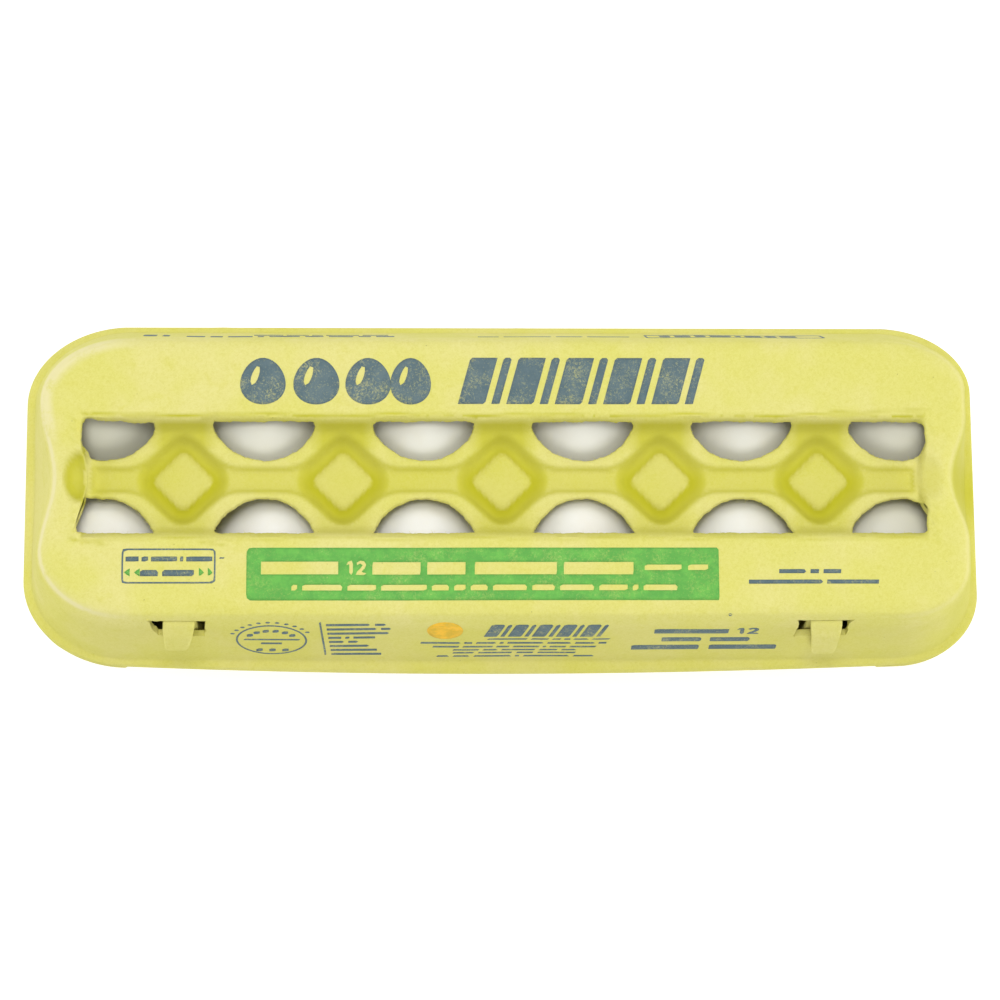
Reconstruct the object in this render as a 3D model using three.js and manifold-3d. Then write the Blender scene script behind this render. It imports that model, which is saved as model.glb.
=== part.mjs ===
// Egg carton for a dozen, shut, with its twelve eggs.
//
// A moulded-pulp tray of 2 x 6 cups carries a lid that hinges along the back rim. The lid has a
// sunken band along its middle with a viewing window over each egg and a diamond over each post of
// the tray. A flap on the tray's front rim stands inside the lid's front wall, and its two tabs
// hook out through slots in that wall.
//
// Millimetres, +Z up. X runs along the carton, -Y is the front with the lock. The pieces are drawn
// about the line midway between the two rows of cups, and the group is then moved along Y so that
// the origin lies under the middle of the bounding box.

import * as THREE from 'three';
import { mergeVertices } from 'three/addons/utils/BufferGeometryUtils.js';
import Module from 'manifold-3d';

const wasm = await Module();
wasm.setup();

// ---------------------------------------------------------------- driving dimensions

const LENGTH = 300;
const HALF_DEPTH = 54.25;
const FRONT_BOW = 2.5; // the front lip bows out this much at the middle
const HEIGHT = 70;
const RIM = 36; // height of the parting plane between tray and lid
const PULP = 1.8; // thickness of the moulded wall
const SEAM = 0.15; // each rim stops this short of the parting plane

const PITCH = 49.2; // cup to cup along the carton
const ROW = 24.3; // each row's distance from the middle line
const COLUMNS = [-2.5, -1.5, -0.5, 0.5, 1.5, 2.5].map((n) => n * PITCH);
const POSTS = [-2, -1, 0, 1, 2].map((n) => n * PITCH);

const CORNER = { back: { x: 34, y: 29 }, front: { x: 31, y: 24 } }; // rim corner radii
const WAIST_DEPTH = 4.2; // how far each end of the lid is pinched in at its middle
const WAIST_REACH = 25;
const ARC_STEPS = 6;
const END_STEPS = 8;
const FRONT_STEPS = 8;

// The sunken band in the lid's top.
const BAND = { halfX: 129.3, halfY: 19.4, footX: 126.8, footY: 14.8, depth: 6 };
const BAND_FLOOR = HEIGHT - BAND.depth;
const CHANNEL = { halfX: 126, topHalf: 3.8, floorHalf: 1.7, depth: 1.6 };
const DIAMOND = { depth: 4, raised: 1.8 }; // groove below the band's floor, flat above the groove
const NOTCH = { footX: 127, topX: 134, footHalf: 9, tipHalf: 5, mouthHalf: 10.2 };

// Viewing windows: part of a circle round the egg's axis, cut straight on the outer side.
const WINDOW = { radius: 18, straightAt: 17.4, endX: 129, backCorner: 2.8, frontCorner: 1.4 };

// Lock: slots in the lid's front wall, and the hooks that come through them.
const SLOTS = [
  { x: -99.5, width: 16.4 },
  { x: 97.1, width: 15.4 },
];
const SLOT = { low: 53.5, high: 64.5 };
const FLAP = { halfX: 116, top: 46, thickness: 1.6, gap: 0.55, lift: 0.4, creaseIn: 3.9 };
const EAR = { top: 61.4, footHalf: 9.5, topHalf: 5.9 };
const HOOK = { topHalf: 5.7, tipHalf: 4.2, tip: 48.8 };

// Cups of the tray: half width and corner radius at each height, outside and inside.
const CUP_OUTSIDE = [
  { z: 0, half: 12.2, corner: 7.5 },
  { z: 1.8, half: 13.6, corner: 8.5 },
  { z: 25.5, half: 24.6, corner: 17 },
  { z: 34, half: 24.6, corner: 18 },
];
const CUP_INSIDE = [
  { z: 1.8, half: 11.2, corner: 6.8 },
  { z: 3.6, half: 12.4, corner: 7.6 },
  { z: 27.3, half: 22.8, corner: 15.6 },
  { z: 38, half: 22.9, corner: 16.4 },
];
const CUP_CORNER_STEPS = 3;
const PAD = { footRadius: 7, topRadius: 5.6, top: 4.5, sides: 8 }; // raised pad under each egg
const SADDLE = { low: 27.6, halfAcross: 7.5, footHalf: 8, topHalf: 12.5 };
const POST_TOP = 57.8;

const EGG = { length: 57.4, radius: 21.7, taper: 0.13, foot: 4.8, sides: 12, rows: 9 };

// The lid's wall, from its lip to its flat top: height, inset of the long sides and of the ends.
const LID_OUTSIDE = [
  { z: RIM + SEAM, side: 0, end: 0, waist: 0, bow: 1 },
  { z: RIM + 2, side: 0.3, end: 0.3, waist: 0, bow: 1 },
  { z: RIM + 2.7, side: 2, end: 2.8, waist: 0.06, bow: 0.35 },
  { z: 64.5, side: 9.85, end: 7.2, waist: 0.85, bow: 0.15 },
  { z: 66.9, side: 10.7, end: 8, waist: 0.94, bow: 0.12 },
  { z: 69.1, side: 12.1, end: 9.6, waist: 1, bow: 0.1 },
  { z: HEIGHT, side: 14.4, end: 12.2, waist: 1, bow: 0.1 },
];
const LID_INSIDE = [
  { z: RIM - 1, side: 3.6, end: 4.4, waist: 0, bow: 0.35 },
  { z: RIM + 2.7, side: 3.9, end: 4.7, waist: 0.06, bow: 0.35 },
  { z: 64, side: 11.7, end: 9, waist: 0.85, bow: 0.15 },
  { z: 66.9, side: 13, end: 10.6, waist: 0.94, bow: 0.12 },
  { z: HEIGHT - PULP, side: 15.2, end: 13, waist: 1, bow: 0.1 },
];

// ---------------------------------------------------------------- rings and solids

// An arc of an ellipse, from one angle to another, without its last point unless that is asked for.
function arc(cx, cy, rx, ry, fromDeg, toDeg, steps, withEnd = false) {
  return Array.from({ length: withEnd ? steps + 1 : steps }, (_, i) => {
    const a = THREE.MathUtils.degToRad(fromDeg + ((toDeg - fromDeg) * i) / steps);
    return [cx + rx * Math.cos(a), cy + ry * Math.sin(a)];
  });
}

const lift = (points, z) => points.map(([x, y]) => new THREE.Vector3(x, y, z));

// Pinch of the carton's ends, 1 at the middle line and 0 beyond the waist.
function pinch(y) {
  if (Math.abs(y) >= WAIST_REACH) return 0;
  return Math.cos((Math.PI * y) / (2 * WAIST_REACH)) ** 2;
}

// The carton's outline at one level, counter-clockwise seen from above, always as many points.
function cartonRing({ z, side, end, waist, bow }) {
  const halfX = LENGTH / 2 - end;
  const halfY = HALF_DEPTH - side;
  const back = { x: CORNER.back.x - end, y: CORNER.back.y - side };
  const front = { x: CORNER.front.x - end, y: CORNER.front.y - side };
  const endPoints = (from, to, sign) =>
    Array.from({ length: END_STEPS }, (_, i) => {
      const y = from + ((to - from) * i) / END_STEPS;
      return [sign * (halfX - waist * WAIST_DEPTH * pinch(y)), y];
    });
  const straight = halfX - front.x;
  const frontPoints = Array.from({ length: FRONT_STEPS }, (_, i) => {
    const x = straight * ((2 * i) / FRONT_STEPS - 1);
    return [x, -halfY - bow * FRONT_BOW * (1 - (x / straight) ** 2)];
  });
  const low = -(halfY - front.y);
  const high = halfY - back.y;
  return lift(
    [
      ...endPoints(low, high, 1),
      ...arc(halfX - back.x, high, back.x, back.y, 0, 90, ARC_STEPS),
      ...arc(-(halfX - back.x), high, back.x, back.y, 90, 180, ARC_STEPS),
      ...endPoints(high, low, -1),
      ...arc(-straight, low, front.x, front.y, 180, 270, ARC_STEPS),
      ...frontPoints,
      ...arc(straight, low, front.x, front.y, 270, 360, ARC_STEPS),
    ],
    z,
  );
}

// A rounded square, turned by 0 or 45 degrees. half is the distance from its middle to a side.
function squareRing({ z, half, corner, turn = 0, x = 0, y = 0, steps = CUP_CORNER_STEPS }) {
  const middle = half - corner;
  const corners = [0, 90, 180, 270].flatMap((deg) => {
    const a = THREE.MathUtils.degToRad(deg + 45 + turn);
    const cx = x + Math.SQRT2 * middle * Math.cos(a);
    const cy = y + Math.SQRT2 * middle * Math.sin(a);
    const from = deg + turn;
    return arc(cx, cy, corner, corner, from, from + 90, steps, true);
  });
  return lift(corners, z);
}

// A closed solid through rings of equally many points, lowest first.
function loft(rings) {
  const count = rings[0].length;
  const positions = rings.flat();
  const index = [];
  for (let level = 0; level + 1 < rings.length; level += 1) {
    for (let i = 0; i < count; i += 1) {
      const a = level * count + i;
      const b = level * count + ((i + 1) % count);
      index.push(a, b, b + count, a, b + count, a + count);
    }
  }
  const middle = (ring) => ring.reduce((sum, p) => sum.add(p), new THREE.Vector3()).divideScalar(count);
  const bottom = positions.push(middle(rings[0])) - 1;
  const top = positions.push(middle(rings.at(-1))) - 1;
  const last = (rings.length - 1) * count;
  for (let i = 0; i < count; i += 1) {
    const next = (i + 1) % count;
    index.push(bottom, next, i, top, last + i, last + next);
  }
  const geometry = new THREE.BufferGeometry().setFromPoints(positions);
  geometry.setIndex(index);
  return solid(geometry);
}

// A geometry as a solid that can be cut and joined.
function solid(geometry) {
  const bare = geometry.clone();
  bare.deleteAttribute('normal');
  bare.deleteAttribute('uv');
  const merged = mergeVertices(bare, 1e-4);
  return new wasm.Manifold(
    new wasm.Mesh({
      numProp: 3,
      vertProperties: Float32Array.from(merged.attributes.position.array),
      triVerts: Uint32Array.from(merged.index.array),
    }),
  );
}

function box(x0, x1, y0, y1, z0, z1) {
  const geometry = new THREE.BoxGeometry(x1 - x0, y1 - y0, z1 - z0);
  geometry.translate((x0 + x1) / 2, (y0 + y1) / 2, (z0 + z1) / 2);
  return solid(geometry);
}

const joined = (solids) => solids.reduce((sum, piece) => sum.add(piece));

// A named mesh of a finished solid.
function piece(name, shape, material) {
  const { vertProperties, triVerts } = shape.getMesh();
  const geometry = new THREE.BufferGeometry();
  geometry.setAttribute('position', new THREE.BufferAttribute(vertProperties, 3));
  geometry.setIndex(new THREE.BufferAttribute(triVerts, 1));
  geometry.computeVertexNormals();
  const mesh = new THREE.Mesh(geometry, material);
  mesh.name = name;
  return mesh;
}

// ---------------------------------------------------------------- lid

const rectangle = (halfX, halfY, z) =>
  lift([[halfX, -halfY], [halfX, halfY], [-halfX, halfY], [-halfX, -halfY]], z);

// The slope at one end of the band, which runs out through the lid's waist.
function notch(sign, grow) {
  const { footX, topX, footHalf, tipHalf, mouthHalf } = NOTCH;
  const start = footX - 9;
  const level = (outerX, half, shoulderX) => [
    [start, -half - grow],
    [shoulderX + grow, -half - grow],
    [outerX + grow, -tipHalf],
    [outerX + grow, tipHalf],
    [shoulderX + grow, half + grow],
    [start, half + grow],
  ];
  const turned = (points) => (sign > 0 ? points : points.map(([x, y]) => [-x, -y]));
  return loft([
    lift(turned(level(footX, footHalf, footX - 0.5)), BAND_FLOOR - grow),
    lift(turned(level(topX + 0.6, mouthHalf, topX - 4)), HEIGHT + 0.5 - grow),
    lift(turned(level(topX + 0.7, mouthHalf, topX - 3.9)), HEIGHT + 0.6),
  ]);
}

// Everything sunk into the lid's top, grown by a thickness on all sides for its underside.
function sunkenBand(grow) {
  const top = HEIGHT + 0.6;
  const floor = BAND_FLOOR - grow;
  const band = loft([
    rectangle(BAND.footX + grow, BAND.footY + grow, floor),
    rectangle(BAND.halfX + grow, BAND.halfY + grow, HEIGHT - 0.01 * grow),
    rectangle(BAND.halfX + grow + 0.2, BAND.halfY + grow + 0.3, top),
  ]);
  const channel = loft([
    rectangle(CHANNEL.halfX, CHANNEL.floorHalf + grow, floor - CHANNEL.depth),
    rectangle(CHANNEL.halfX + 0.4, CHANNEL.topHalf + grow, floor + 0.2),
  ]);
  const grooves = POSTS.map((x) =>
    loft([
      squareRing({ x, z: floor - DIAMOND.depth, half: 9 + grow, corner: 4 + grow, turn: 45 }),
      squareRing({ x, z: floor + 0.1, half: 12.3 + grow, corner: 7.7 + grow, turn: 45 }),
    ]),
  );
  return joined([band, channel, ...grooves, notch(1, grow), notch(-1, grow)]);
}

// The flat in the middle of each diamond.
function diamondFlat(x) {
  const foot = BAND_FLOOR - DIAMOND.depth - 0.5;
  return loft([
    squareRing({ x, z: foot, half: 7.9, corner: 2.8, turn: 45 }),
    squareRing({ x, z: foot + 0.5 + DIAMOND.raised, half: 5.9, corner: 1.4, turn: 45 }),
  ]);
}

// Outline of one window. side is +1 in the back row and -1 in the front row.
function windowCut(x, side) {
  const { radius, straightAt } = WINDOW;
  const round = side > 0 ? WINDOW.backCorner : WINDOW.frontCorner;
  const reach = Math.sqrt(radius ** 2 - (ROW - straightAt) ** 2);
  const turnIn = Math.asin((ROW - straightAt + round) / radius);
  const shape = new THREE.Shape();
  shape.moveTo(round - reach, straightAt);
  shape.lineTo(reach - round, straightAt);
  const corner = [radius * Math.cos(turnIn), ROW - radius * Math.sin(turnIn)];
  shape.quadraticCurveTo(reach - 0.3 * round, straightAt, corner[0], corner[1]);
  shape.absarc(0, ROW, radius, -turnIn, turnIn - Math.PI, true);
  shape.quadraticCurveTo(0.3 * round - reach, straightAt, round - reach, straightAt);
  const geometry = new THREE.ExtrudeGeometry(shape, { depth: 30, bevelEnabled: false, curveSegments: 8 });
  if (side < 0) geometry.rotateX(Math.PI);
  geometry.translate(x, 0, side < 0 ? HEIGHT + 0.3 : HEIGHT + 0.3 - 30);
  return solid(geometry);
}

function lidSolid() {
  const shell = loft(LID_OUTSIDE.map(cartonRing)).subtract(sunkenBand(0));
  const hollow = loft(LID_INSIDE.map(cartonRing)).subtract(sunkenBand(PULP));
  const backTrim = box(-LENGTH, LENGTH, HALF_DEPTH - SEAM, HALF_DEPTH + 1, RIM - 1, RIM + 5);
  const windows = COLUMNS.flatMap((x) => [windowCut(x, 1), windowCut(x, -1)]);
  const openings = joined(windows).intersect(
    box(-WINDOW.endX, WINDOW.endX, -HALF_DEPTH, HALF_DEPTH, RIM, HEIGHT + 1),
  );
  const slots = SLOTS.map(({ x, width }) =>
    box(x - width / 2, x + width / 2, -HALF_DEPTH - 1, -41, SLOT.low, SLOT.high),
  );
  return shell
    .add(joined(POSTS.map(diamondFlat)))
    .subtract(hollow)
    .subtract(openings)
    .subtract(joined(slots))
    .subtract(backTrim);
}

// ---------------------------------------------------------------- tray

const cupLoft = (levels, x, y) => loft(levels.map((level) => squareRing({ ...level, x, y })));

// The raised pad that the egg stands on, hollow below like the rest of the pulp.
function pad(x, y, shrink, drop) {
  const ring = (radius, z) => lift(arc(x, y, radius, radius, 0, 360, PAD.sides), z);
  const foot = shrink > 0 ? -0.5 : 1;
  return loft([ring(PAD.footRadius - shrink, foot), ring(PAD.topRadius - shrink, PAD.top - drop)]);
}

// A dip in the wall between two neighbouring cups.
function saddle(x, y, alongX) {
  const ring = (half, z) => {
    const [halfX, halfY] = alongX ? [SADDLE.halfAcross, half] : [half, SADDLE.halfAcross];
    return lift(
      [[x + halfX, y - halfY], [x + halfX, y + halfY], [x - halfX, y + halfY], [x - halfX, y - halfY]],
      z,
    );
  };
  return loft([ring(SADDLE.footHalf, SADDLE.low), ring(SADDLE.topHalf, RIM + 1)]);
}

function post(x, thinner) {
  const levels = [
    { z: 21, half: 12.8, corner: 4 },
    { z: RIM, half: 9.8, corner: 3 },
    { z: POST_TOP, half: 6, corner: 1.8 },
  ];
  if (thinner) levels[2].z -= PULP;
  return loft(
    levels.map(({ z, half, corner }) => {
      const lessHalf = thinner ? PULP + 0.3 : 0;
      const lessCorner = thinner ? 0.8 : 0;
      return squareRing({ x, z, half: half - lessHalf, corner: corner - lessCorner, turn: 45 });
    }),
  );
}

function rimPlate() {
  const level = (z) => cartonRing({ z, side: 0, end: 0, waist: 0, bow: 1 });
  const plate = loft([level(RIM - 2 - SEAM), level(RIM - SEAM)]);
  const middle = box(-(COLUMNS[5] + 6), COLUMNS[5] + 6, -ROW - 6, ROW + 6, RIM - 5, RIM + 1);
  return plate.subtract(middle);
}

function traySolid() {
  const places = COLUMNS.flatMap((x) => [[x, ROW], [x, -ROW]]);
  const outside = joined(places.map(([x, y]) => cupLoft(CUP_OUTSIDE, x, y))).add(rimPlate());
  const inside = joined(places.map(([x, y]) => cupLoft(CUP_INSIDE, x, y)));
  const saddles = joined([
    ...POSTS.flatMap((x) => [saddle(x, ROW, true), saddle(x, -ROW, true)]),
    ...COLUMNS.map((x) => saddle(x, 0, false)),
  ]);
  const front = HALF_DEPTH - FLAP.creaseIn;
  const flapRelief = box(-FLAP.halfX - 1, FLAP.halfX + 1, -HALF_DEPTH - 5, -front, RIM - 4, RIM + 1);
  const backTrim = box(-LENGTH, LENGTH, HALF_DEPTH - SEAM, HALF_DEPTH + 1, RIM - 5, RIM + 1);
  return outside
    .subtract(inside)
    .subtract(saddles)
    .add(joined(places.map(([x, y]) => pad(x, y, 0, 0))))
    .add(joined(POSTS.map((x) => post(x, false))))
    .subtract(joined(POSTS.map((x) => post(x, true))))
    .subtract(joined(places.map(([x, y]) => pad(x, y, 1.4, PULP))))
    .subtract(flapRelief)
    .subtract(backTrim);
}

// ---------------------------------------------------------------- flap

// Distance of the lid's inner front wall from the middle line at a height, as a negative Y.
function innerFrontY(z) {
  const [, low, high] = LID_INSIDE;
  const share = (z - low.z) / (high.z - low.z);
  return -(HALF_DEPTH - THREE.MathUtils.lerp(low.side, high.side, share));
}

// A solid from an outline in the YZ plane, whose half width along X is linear in Z.
function widthSweep(profile, centreX, halfWidthAt) {
  const contour = profile.map(([y, z]) => new THREE.Vector2(y, z));
  if (THREE.ShapeUtils.area(contour) < 0) contour.reverse();
  const end = (sign) =>
    contour.map((p) => new THREE.Vector3(centreX + sign * halfWidthAt(p.y), p.x, p.y));
  const geometry = new THREE.BufferGeometry().setFromPoints([...end(-1), ...end(1)]);
  const n = contour.length;
  const caps = THREE.ShapeUtils.triangulateShape(contour, []);
  const index = [];
  for (const [a, b, c] of caps) index.push(a, c, b, a + n, b + n, c + n);
  for (let i = 0; i < n; i += 1) {
    const next = (i + 1) % n;
    index.push(i, next, next + n, i, next + n, i + n);
  }
  geometry.setIndex(index);
  return solid(geometry);
}

// Profile of the flap's plate between two heights, parallel to the lid's front wall.
function plateProfile(top) {
  const outer = (z) => innerFrontY(z) + FLAP.gap;
  const inner = (z) => outer(z) + FLAP.thickness;
  const foot = RIM + FLAP.lift;
  return [
    [outer(foot), foot],
    [inner(foot + 1), foot + 1],
    [inner(top), top],
    [outer(top), top],
  ];
}

function hook(x) {
  const profile = [
    [-41.3, 60.2],
    [-41.2, 62.6],
    [-43.6, 63.2],
    [-48, 60.1],
    [-51.4, 54.6],
    [-52.6, HOOK.tip + 0.2],
    [-51, HOOK.tip],
    [-49.9, 54],
    [-46.7, 58.5],
    [-43, 60.4],
  ];
  const widthAt = (z) => THREE.MathUtils.mapLinear(z, HOOK.tip, 63.2, HOOK.tipHalf, HOOK.topHalf);
  return widthSweep(profile, x, widthAt);
}

function flapSolid() {
  const strip = widthSweep(plateProfile(FLAP.top), 0, () => FLAP.halfX);
  const earWidth = (z) => THREE.MathUtils.mapLinear(z, RIM, EAR.top, EAR.footHalf, EAR.topHalf);
  const ears = SLOTS.map(({ x }) => widthSweep(plateProfile(EAR.top), x, earWidth));
  return joined([strip, ...ears, ...SLOTS.map(({ x }) => hook(x + 0.6))]);
}

// ---------------------------------------------------------------- eggs

// Small differences between eggs, drawn from a fixed seed.
function seeded(seed) {
  let state = seed;
  return () => {
    state = (state * 1664525 + 1013904223) % 4294967296;
    return state / 4294967296;
  };
}

// Eggs that differ more than the others: lower ones at the back corners, a small one in front.
const ODD_EGGS = {
  egg_back_1: { length: -1.4, radius: -0.3 },
  egg_back_6: { length: -0.8, radius: -0.2 },
  egg_front_2: { length: -1.2, radius: -0.9, x: 1.2 },
};

function eggMesh(name, x, y, random, material) {
  const spread = (amount) => (random() - 0.5) * 2 * amount;
  const odd = { length: 0, radius: 0, x: 0, ...ODD_EGGS[name] };
  const length = EGG.length + spread(0.4) + odd.length;
  const radius = EGG.radius + spread(0.25) + odd.radius;
  const profile = Array.from({ length: EGG.rows + 1 }, (_, i) => {
    const t = -Math.cos((Math.PI * i) / EGG.rows);
    const around = i === 0 || i === EGG.rows ? 0 : radius * Math.sqrt(1 - t * t) * (1 + EGG.taper * t);
    return new THREE.Vector2(around, (length / 2) * (1 + t));
  });
  const geometry = new THREE.LatheGeometry(profile, EGG.sides);
  geometry.rotateX(Math.PI / 2);
  const egg = piece(name, solid(geometry), material);
  const lean = THREE.MathUtils.degToRad(1.2);
  egg.rotation.set(spread(lean), spread(lean), random() * Math.PI);
  egg.position.set(x + odd.x + spread(0.3), y + spread(0.3), EGG.foot);
  return egg;
}

// ---------------------------------------------------------------- the carton

const pulpMaterial = new THREE.MeshStandardMaterial({ color: 0xe4dc78, roughness: 0.92, metalness: 0 });
const shellMaterial = new THREE.MeshStandardMaterial({ color: 0xf0eddd, roughness: 0.55, metalness: 0 });

const carton = new THREE.Group();
carton.name = 'egg_carton';
carton.add(piece('tray', traySolid(), pulpMaterial));
carton.add(piece('lid', lidSolid(), pulpMaterial));
carton.add(piece('flap', flapSolid(), pulpMaterial));

const random = seeded(12);
for (const [row, y] of [['back', ROW], ['front', -ROW]]) {
  COLUMNS.forEach((x, i) => carton.add(eggMesh(`egg_${row}_${i + 1}`, x, y, random, shellMaterial)));
}

// The bounding box runs from the bowed front lip to the trimmed back rim.
carton.position.y = (FRONT_BOW + SEAM) / 2;

export default carton;
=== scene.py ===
"""Egg carton for a dozen, shut, with its twelve eggs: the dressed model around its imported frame.

Lengths are in millimetres about the line midway between the two rows of cups, +Z up, with X along
the carton and the lock on the -Y side. `framed` moves points along Y into the frame and turns them
into metres when a piece's mesh is made.
"""

from __future__ import annotations

import logging
import math
from dataclasses import dataclass, field
from enum import Enum
from typing import Sequence

import bmesh
import bpy
import numpy as np
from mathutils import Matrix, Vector
from mathutils.geometry import delaunay_2d_cdt
from mathutils.kdtree import KDTree

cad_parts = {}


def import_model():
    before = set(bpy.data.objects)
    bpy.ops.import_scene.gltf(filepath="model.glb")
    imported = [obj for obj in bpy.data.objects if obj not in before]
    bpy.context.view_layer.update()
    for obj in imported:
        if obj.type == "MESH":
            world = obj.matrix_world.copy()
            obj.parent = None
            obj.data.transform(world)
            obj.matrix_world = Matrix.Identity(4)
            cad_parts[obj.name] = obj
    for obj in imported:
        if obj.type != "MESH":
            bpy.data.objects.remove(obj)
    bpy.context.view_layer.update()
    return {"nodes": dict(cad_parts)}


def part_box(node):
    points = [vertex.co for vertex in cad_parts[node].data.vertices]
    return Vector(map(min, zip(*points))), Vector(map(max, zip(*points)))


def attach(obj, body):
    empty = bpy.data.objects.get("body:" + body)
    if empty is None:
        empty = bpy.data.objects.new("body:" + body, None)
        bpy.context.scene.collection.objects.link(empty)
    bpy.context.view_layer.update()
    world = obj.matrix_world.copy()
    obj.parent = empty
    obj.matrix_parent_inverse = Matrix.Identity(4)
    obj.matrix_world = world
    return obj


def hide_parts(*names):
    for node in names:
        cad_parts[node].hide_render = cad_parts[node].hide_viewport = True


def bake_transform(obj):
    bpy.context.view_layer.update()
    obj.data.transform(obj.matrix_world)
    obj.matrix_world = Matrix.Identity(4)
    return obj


log = logging.getLogger("egg_carton")

Array = np.ndarray
Piece = bpy.types.Object
Mesh = bpy.types.Mesh
Material = bpy.types.Material
Pair = tuple[float, float]
Triple = tuple[float, float, float]
Rows = tuple[tuple[float, ...], ...]

MM = 0.001
SHIFT_Y = 1.325  # the frame's origin lies under the middle of the bounding box
WELD = 1e-6  # metres within which doubled points are merged
SHARP = math.radians(50)  # edges from this angle on are shaded sharp


class Body(Enum):
    """The frame's moving bodies."""

    TRAY = "tray"
    LID = "lid"
    FLAP = "flap"


class Slot(Enum):
    """The record's material slots."""

    PULP = "pulp"
    SHELL = "eggshell"


class Row(Enum):
    """The two rows of eggs, by the sign of their Y."""

    BACK = 1
    FRONT = -1


def framed(points: Array) -> Array:
    """Points about the carton's middle line, in millimetres, as metres in the frame."""
    return (points + (0, SHIFT_Y, 0)) * MM


def put(name: str, data: bpy.types.ID) -> Piece:
    """Puts an object into the scene.

    Args:
        name: the object's name.
        data: its mesh, light or camera.

    Returns:
        The object, at the origin.
    """
    made = bpy.data.objects.new(name, data)
    bpy.context.scene.collection.objects.link(made)
    return made


def write_layer(mesh: Mesh, name: str, values: Array) -> None:
    """Writes numbers, or vectors one a row, onto the points of a mesh as a named layer."""
    kind, key = ("FLOAT", "value") if values.ndim == 1 else ("FLOAT_VECTOR", "vector")
    mesh.attributes.new(name, kind, "POINT").data.foreach_set(key, values.ravel())


# ------------------------------------------------------------------ soft numbers


def unit(t: Array) -> Array:
    """The values, kept between 0 and 1."""
    return np.clip(t, 0, 1)


def soft_ramp(t: Array, bend: float) -> Array:
    """Rises with slope 1 from t = 0 on, rounded over `bend` on both sides of the start."""
    return np.where(t > bend, t, np.where(t < -bend, 0.0, (t + bend) ** 2 / (4 * bend)))


def soft_unit(t: Array, start: float, end: float) -> Array:
    """A step from 0 to 1, its bends rounded over `start` at 0 and over `end` at 1."""
    return soft_ramp(t, start) - soft_ramp(t - 1, end)


def soft_min(a: Array, b: Array, reach: float) -> Array:
    """The lesser of two values, blended where they differ by less than `reach`."""
    share = unit(0.5 + 0.5 * (b - a) / reach)
    return b + (a - b) * share - reach * share * (1 - share)


def soft_max(a: Array, b: Array, reach: float) -> Array:
    """The greater of two values, blended where they differ by less than `reach`."""
    return -soft_min(-a, -b, reach)


def soft_profile(value: Array, knots: Sequence[float], heights: Sequence[float], blur: float) -> Array:
    """A profile given by its corners, with the corners rounded.

    Args:
        value: where along the profile.
        knots: places of the corners.
        heights: heights at the corners.
        blur: half length of the rounding.

    Returns:
        The profile's height at each value.
    """
    offsets = np.linspace(-1, 1, 7)
    weights = 1 - 0.8 * offsets**2
    total = sum(w * np.interp(value + o * blur, knots, heights) for w, o in zip(weights, offsets))
    return total / weights.sum()


def rounded_gauge(u: Array, v: Array, roundness: Array | float) -> Array:
    """Half width of the rounded square that passes through each point.

    Args:
        u: first coordinate from the square's middle.
        v: second coordinate.
        roundness: corner radius as a share of the half width.

    Returns:
        Half widths, 0 at the middle.
    """
    big = np.maximum(np.abs(u), np.abs(v))
    small = np.minimum(np.abs(u), np.abs(v))
    flat = 1 - roundness
    a = 2 * flat**2 - roundness**2
    b = -2 * flat * (big + small)
    c = big**2 + small**2
    root = np.sqrt(np.maximum(b * b - 4 * a * c, 0))
    return np.where(small <= flat * big, big, 2 * c / np.maximum(root - b, 1e-9))


def turned_gauge(x: Array, y: Array, roundness: Array | float) -> Array:
    """Half width of the rounded square, standing on its corner, through each point."""
    return rounded_gauge((x + y) / math.sqrt(2), (x - y) / math.sqrt(2), roundness)


@dataclass(frozen=True)
class Ripple:
    """Smooth unevenness, a seeded sum of plane waves of between about -1 and 1."""

    seed: int
    shortest: float
    longest: float
    waves: int = 9

    def at(self, x: Array, y: Array) -> Array:
        """Height of the unevenness at each point.

        Args:
            x: first coordinate.
            y: second coordinate.

        Returns:
            The heights.
        """
        rng = np.random.default_rng(self.seed)
        total = np.zeros(np.broadcast(x, y).shape)
        for _ in range(self.waves):
            turn, phase, share = rng.uniform(0, 2 * np.pi), rng.uniform(0, 2 * np.pi), rng.uniform()
            wave = 2 * np.pi / (self.shortest * (self.longest / self.shortest) ** share)
            total = total + np.sin(wave * (x * np.cos(turn) + y * np.sin(turn)) + phase)
        return total / math.sqrt(self.waves) / 1.6


# ------------------------------------------------------------------ paths and plans


def run_length(points: Array) -> Array:
    """Length along a path in its first two coordinates, at each of its points."""
    return np.concatenate([[0], np.cumsum(np.hypot(*np.diff(points[:, :2], axis=0).T))])


def sampled(rows: Array, keys: Array, places: Array) -> Array:
    """Rows of values read off at places between their keys."""
    return np.stack([np.interp(places, keys, column) for column in rows.T], 1)


def blurred(rows: Array, half: int, **padding: str) -> Array:
    """Rows of values with each row averaged with its neighbours.

    Args:
        rows: the rows.
        half: how many neighbours count to each side.
        padding: how the rows go on past their ends, as np.pad takes it.

    Returns:
        As many rows.
    """
    kernel = np.hanning(2 * half + 3)[1:-1]
    padded = np.pad(rows, ((half, half), (0, 0)), **padding)
    return np.stack([np.convolve(c, kernel / kernel.sum(), mode="valid") for c in padded.T], 1)


def soft_path(corners: Sequence[Sequence[float]], blur: float, step: float = 0.2) -> Array:
    """A path through corners, resampled and with its bends rounded.

    Args:
        corners: rows of values. The first two are the coordinates that length is measured in.
        blur: length over which a bend is rounded.
        step: length between samples.

    Returns:
        The samples, one a row, with the ends where they were.
    """
    knots = np.array(corners, float)
    length = run_length(knots)
    places = np.linspace(0, length[-1], max(4, round(length[-1] / step)))
    half = max(1, round(blur / step / 2))
    return blurred(sampled(knots, length, places), half, mode="reflect", reflect_type="odd")


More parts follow.
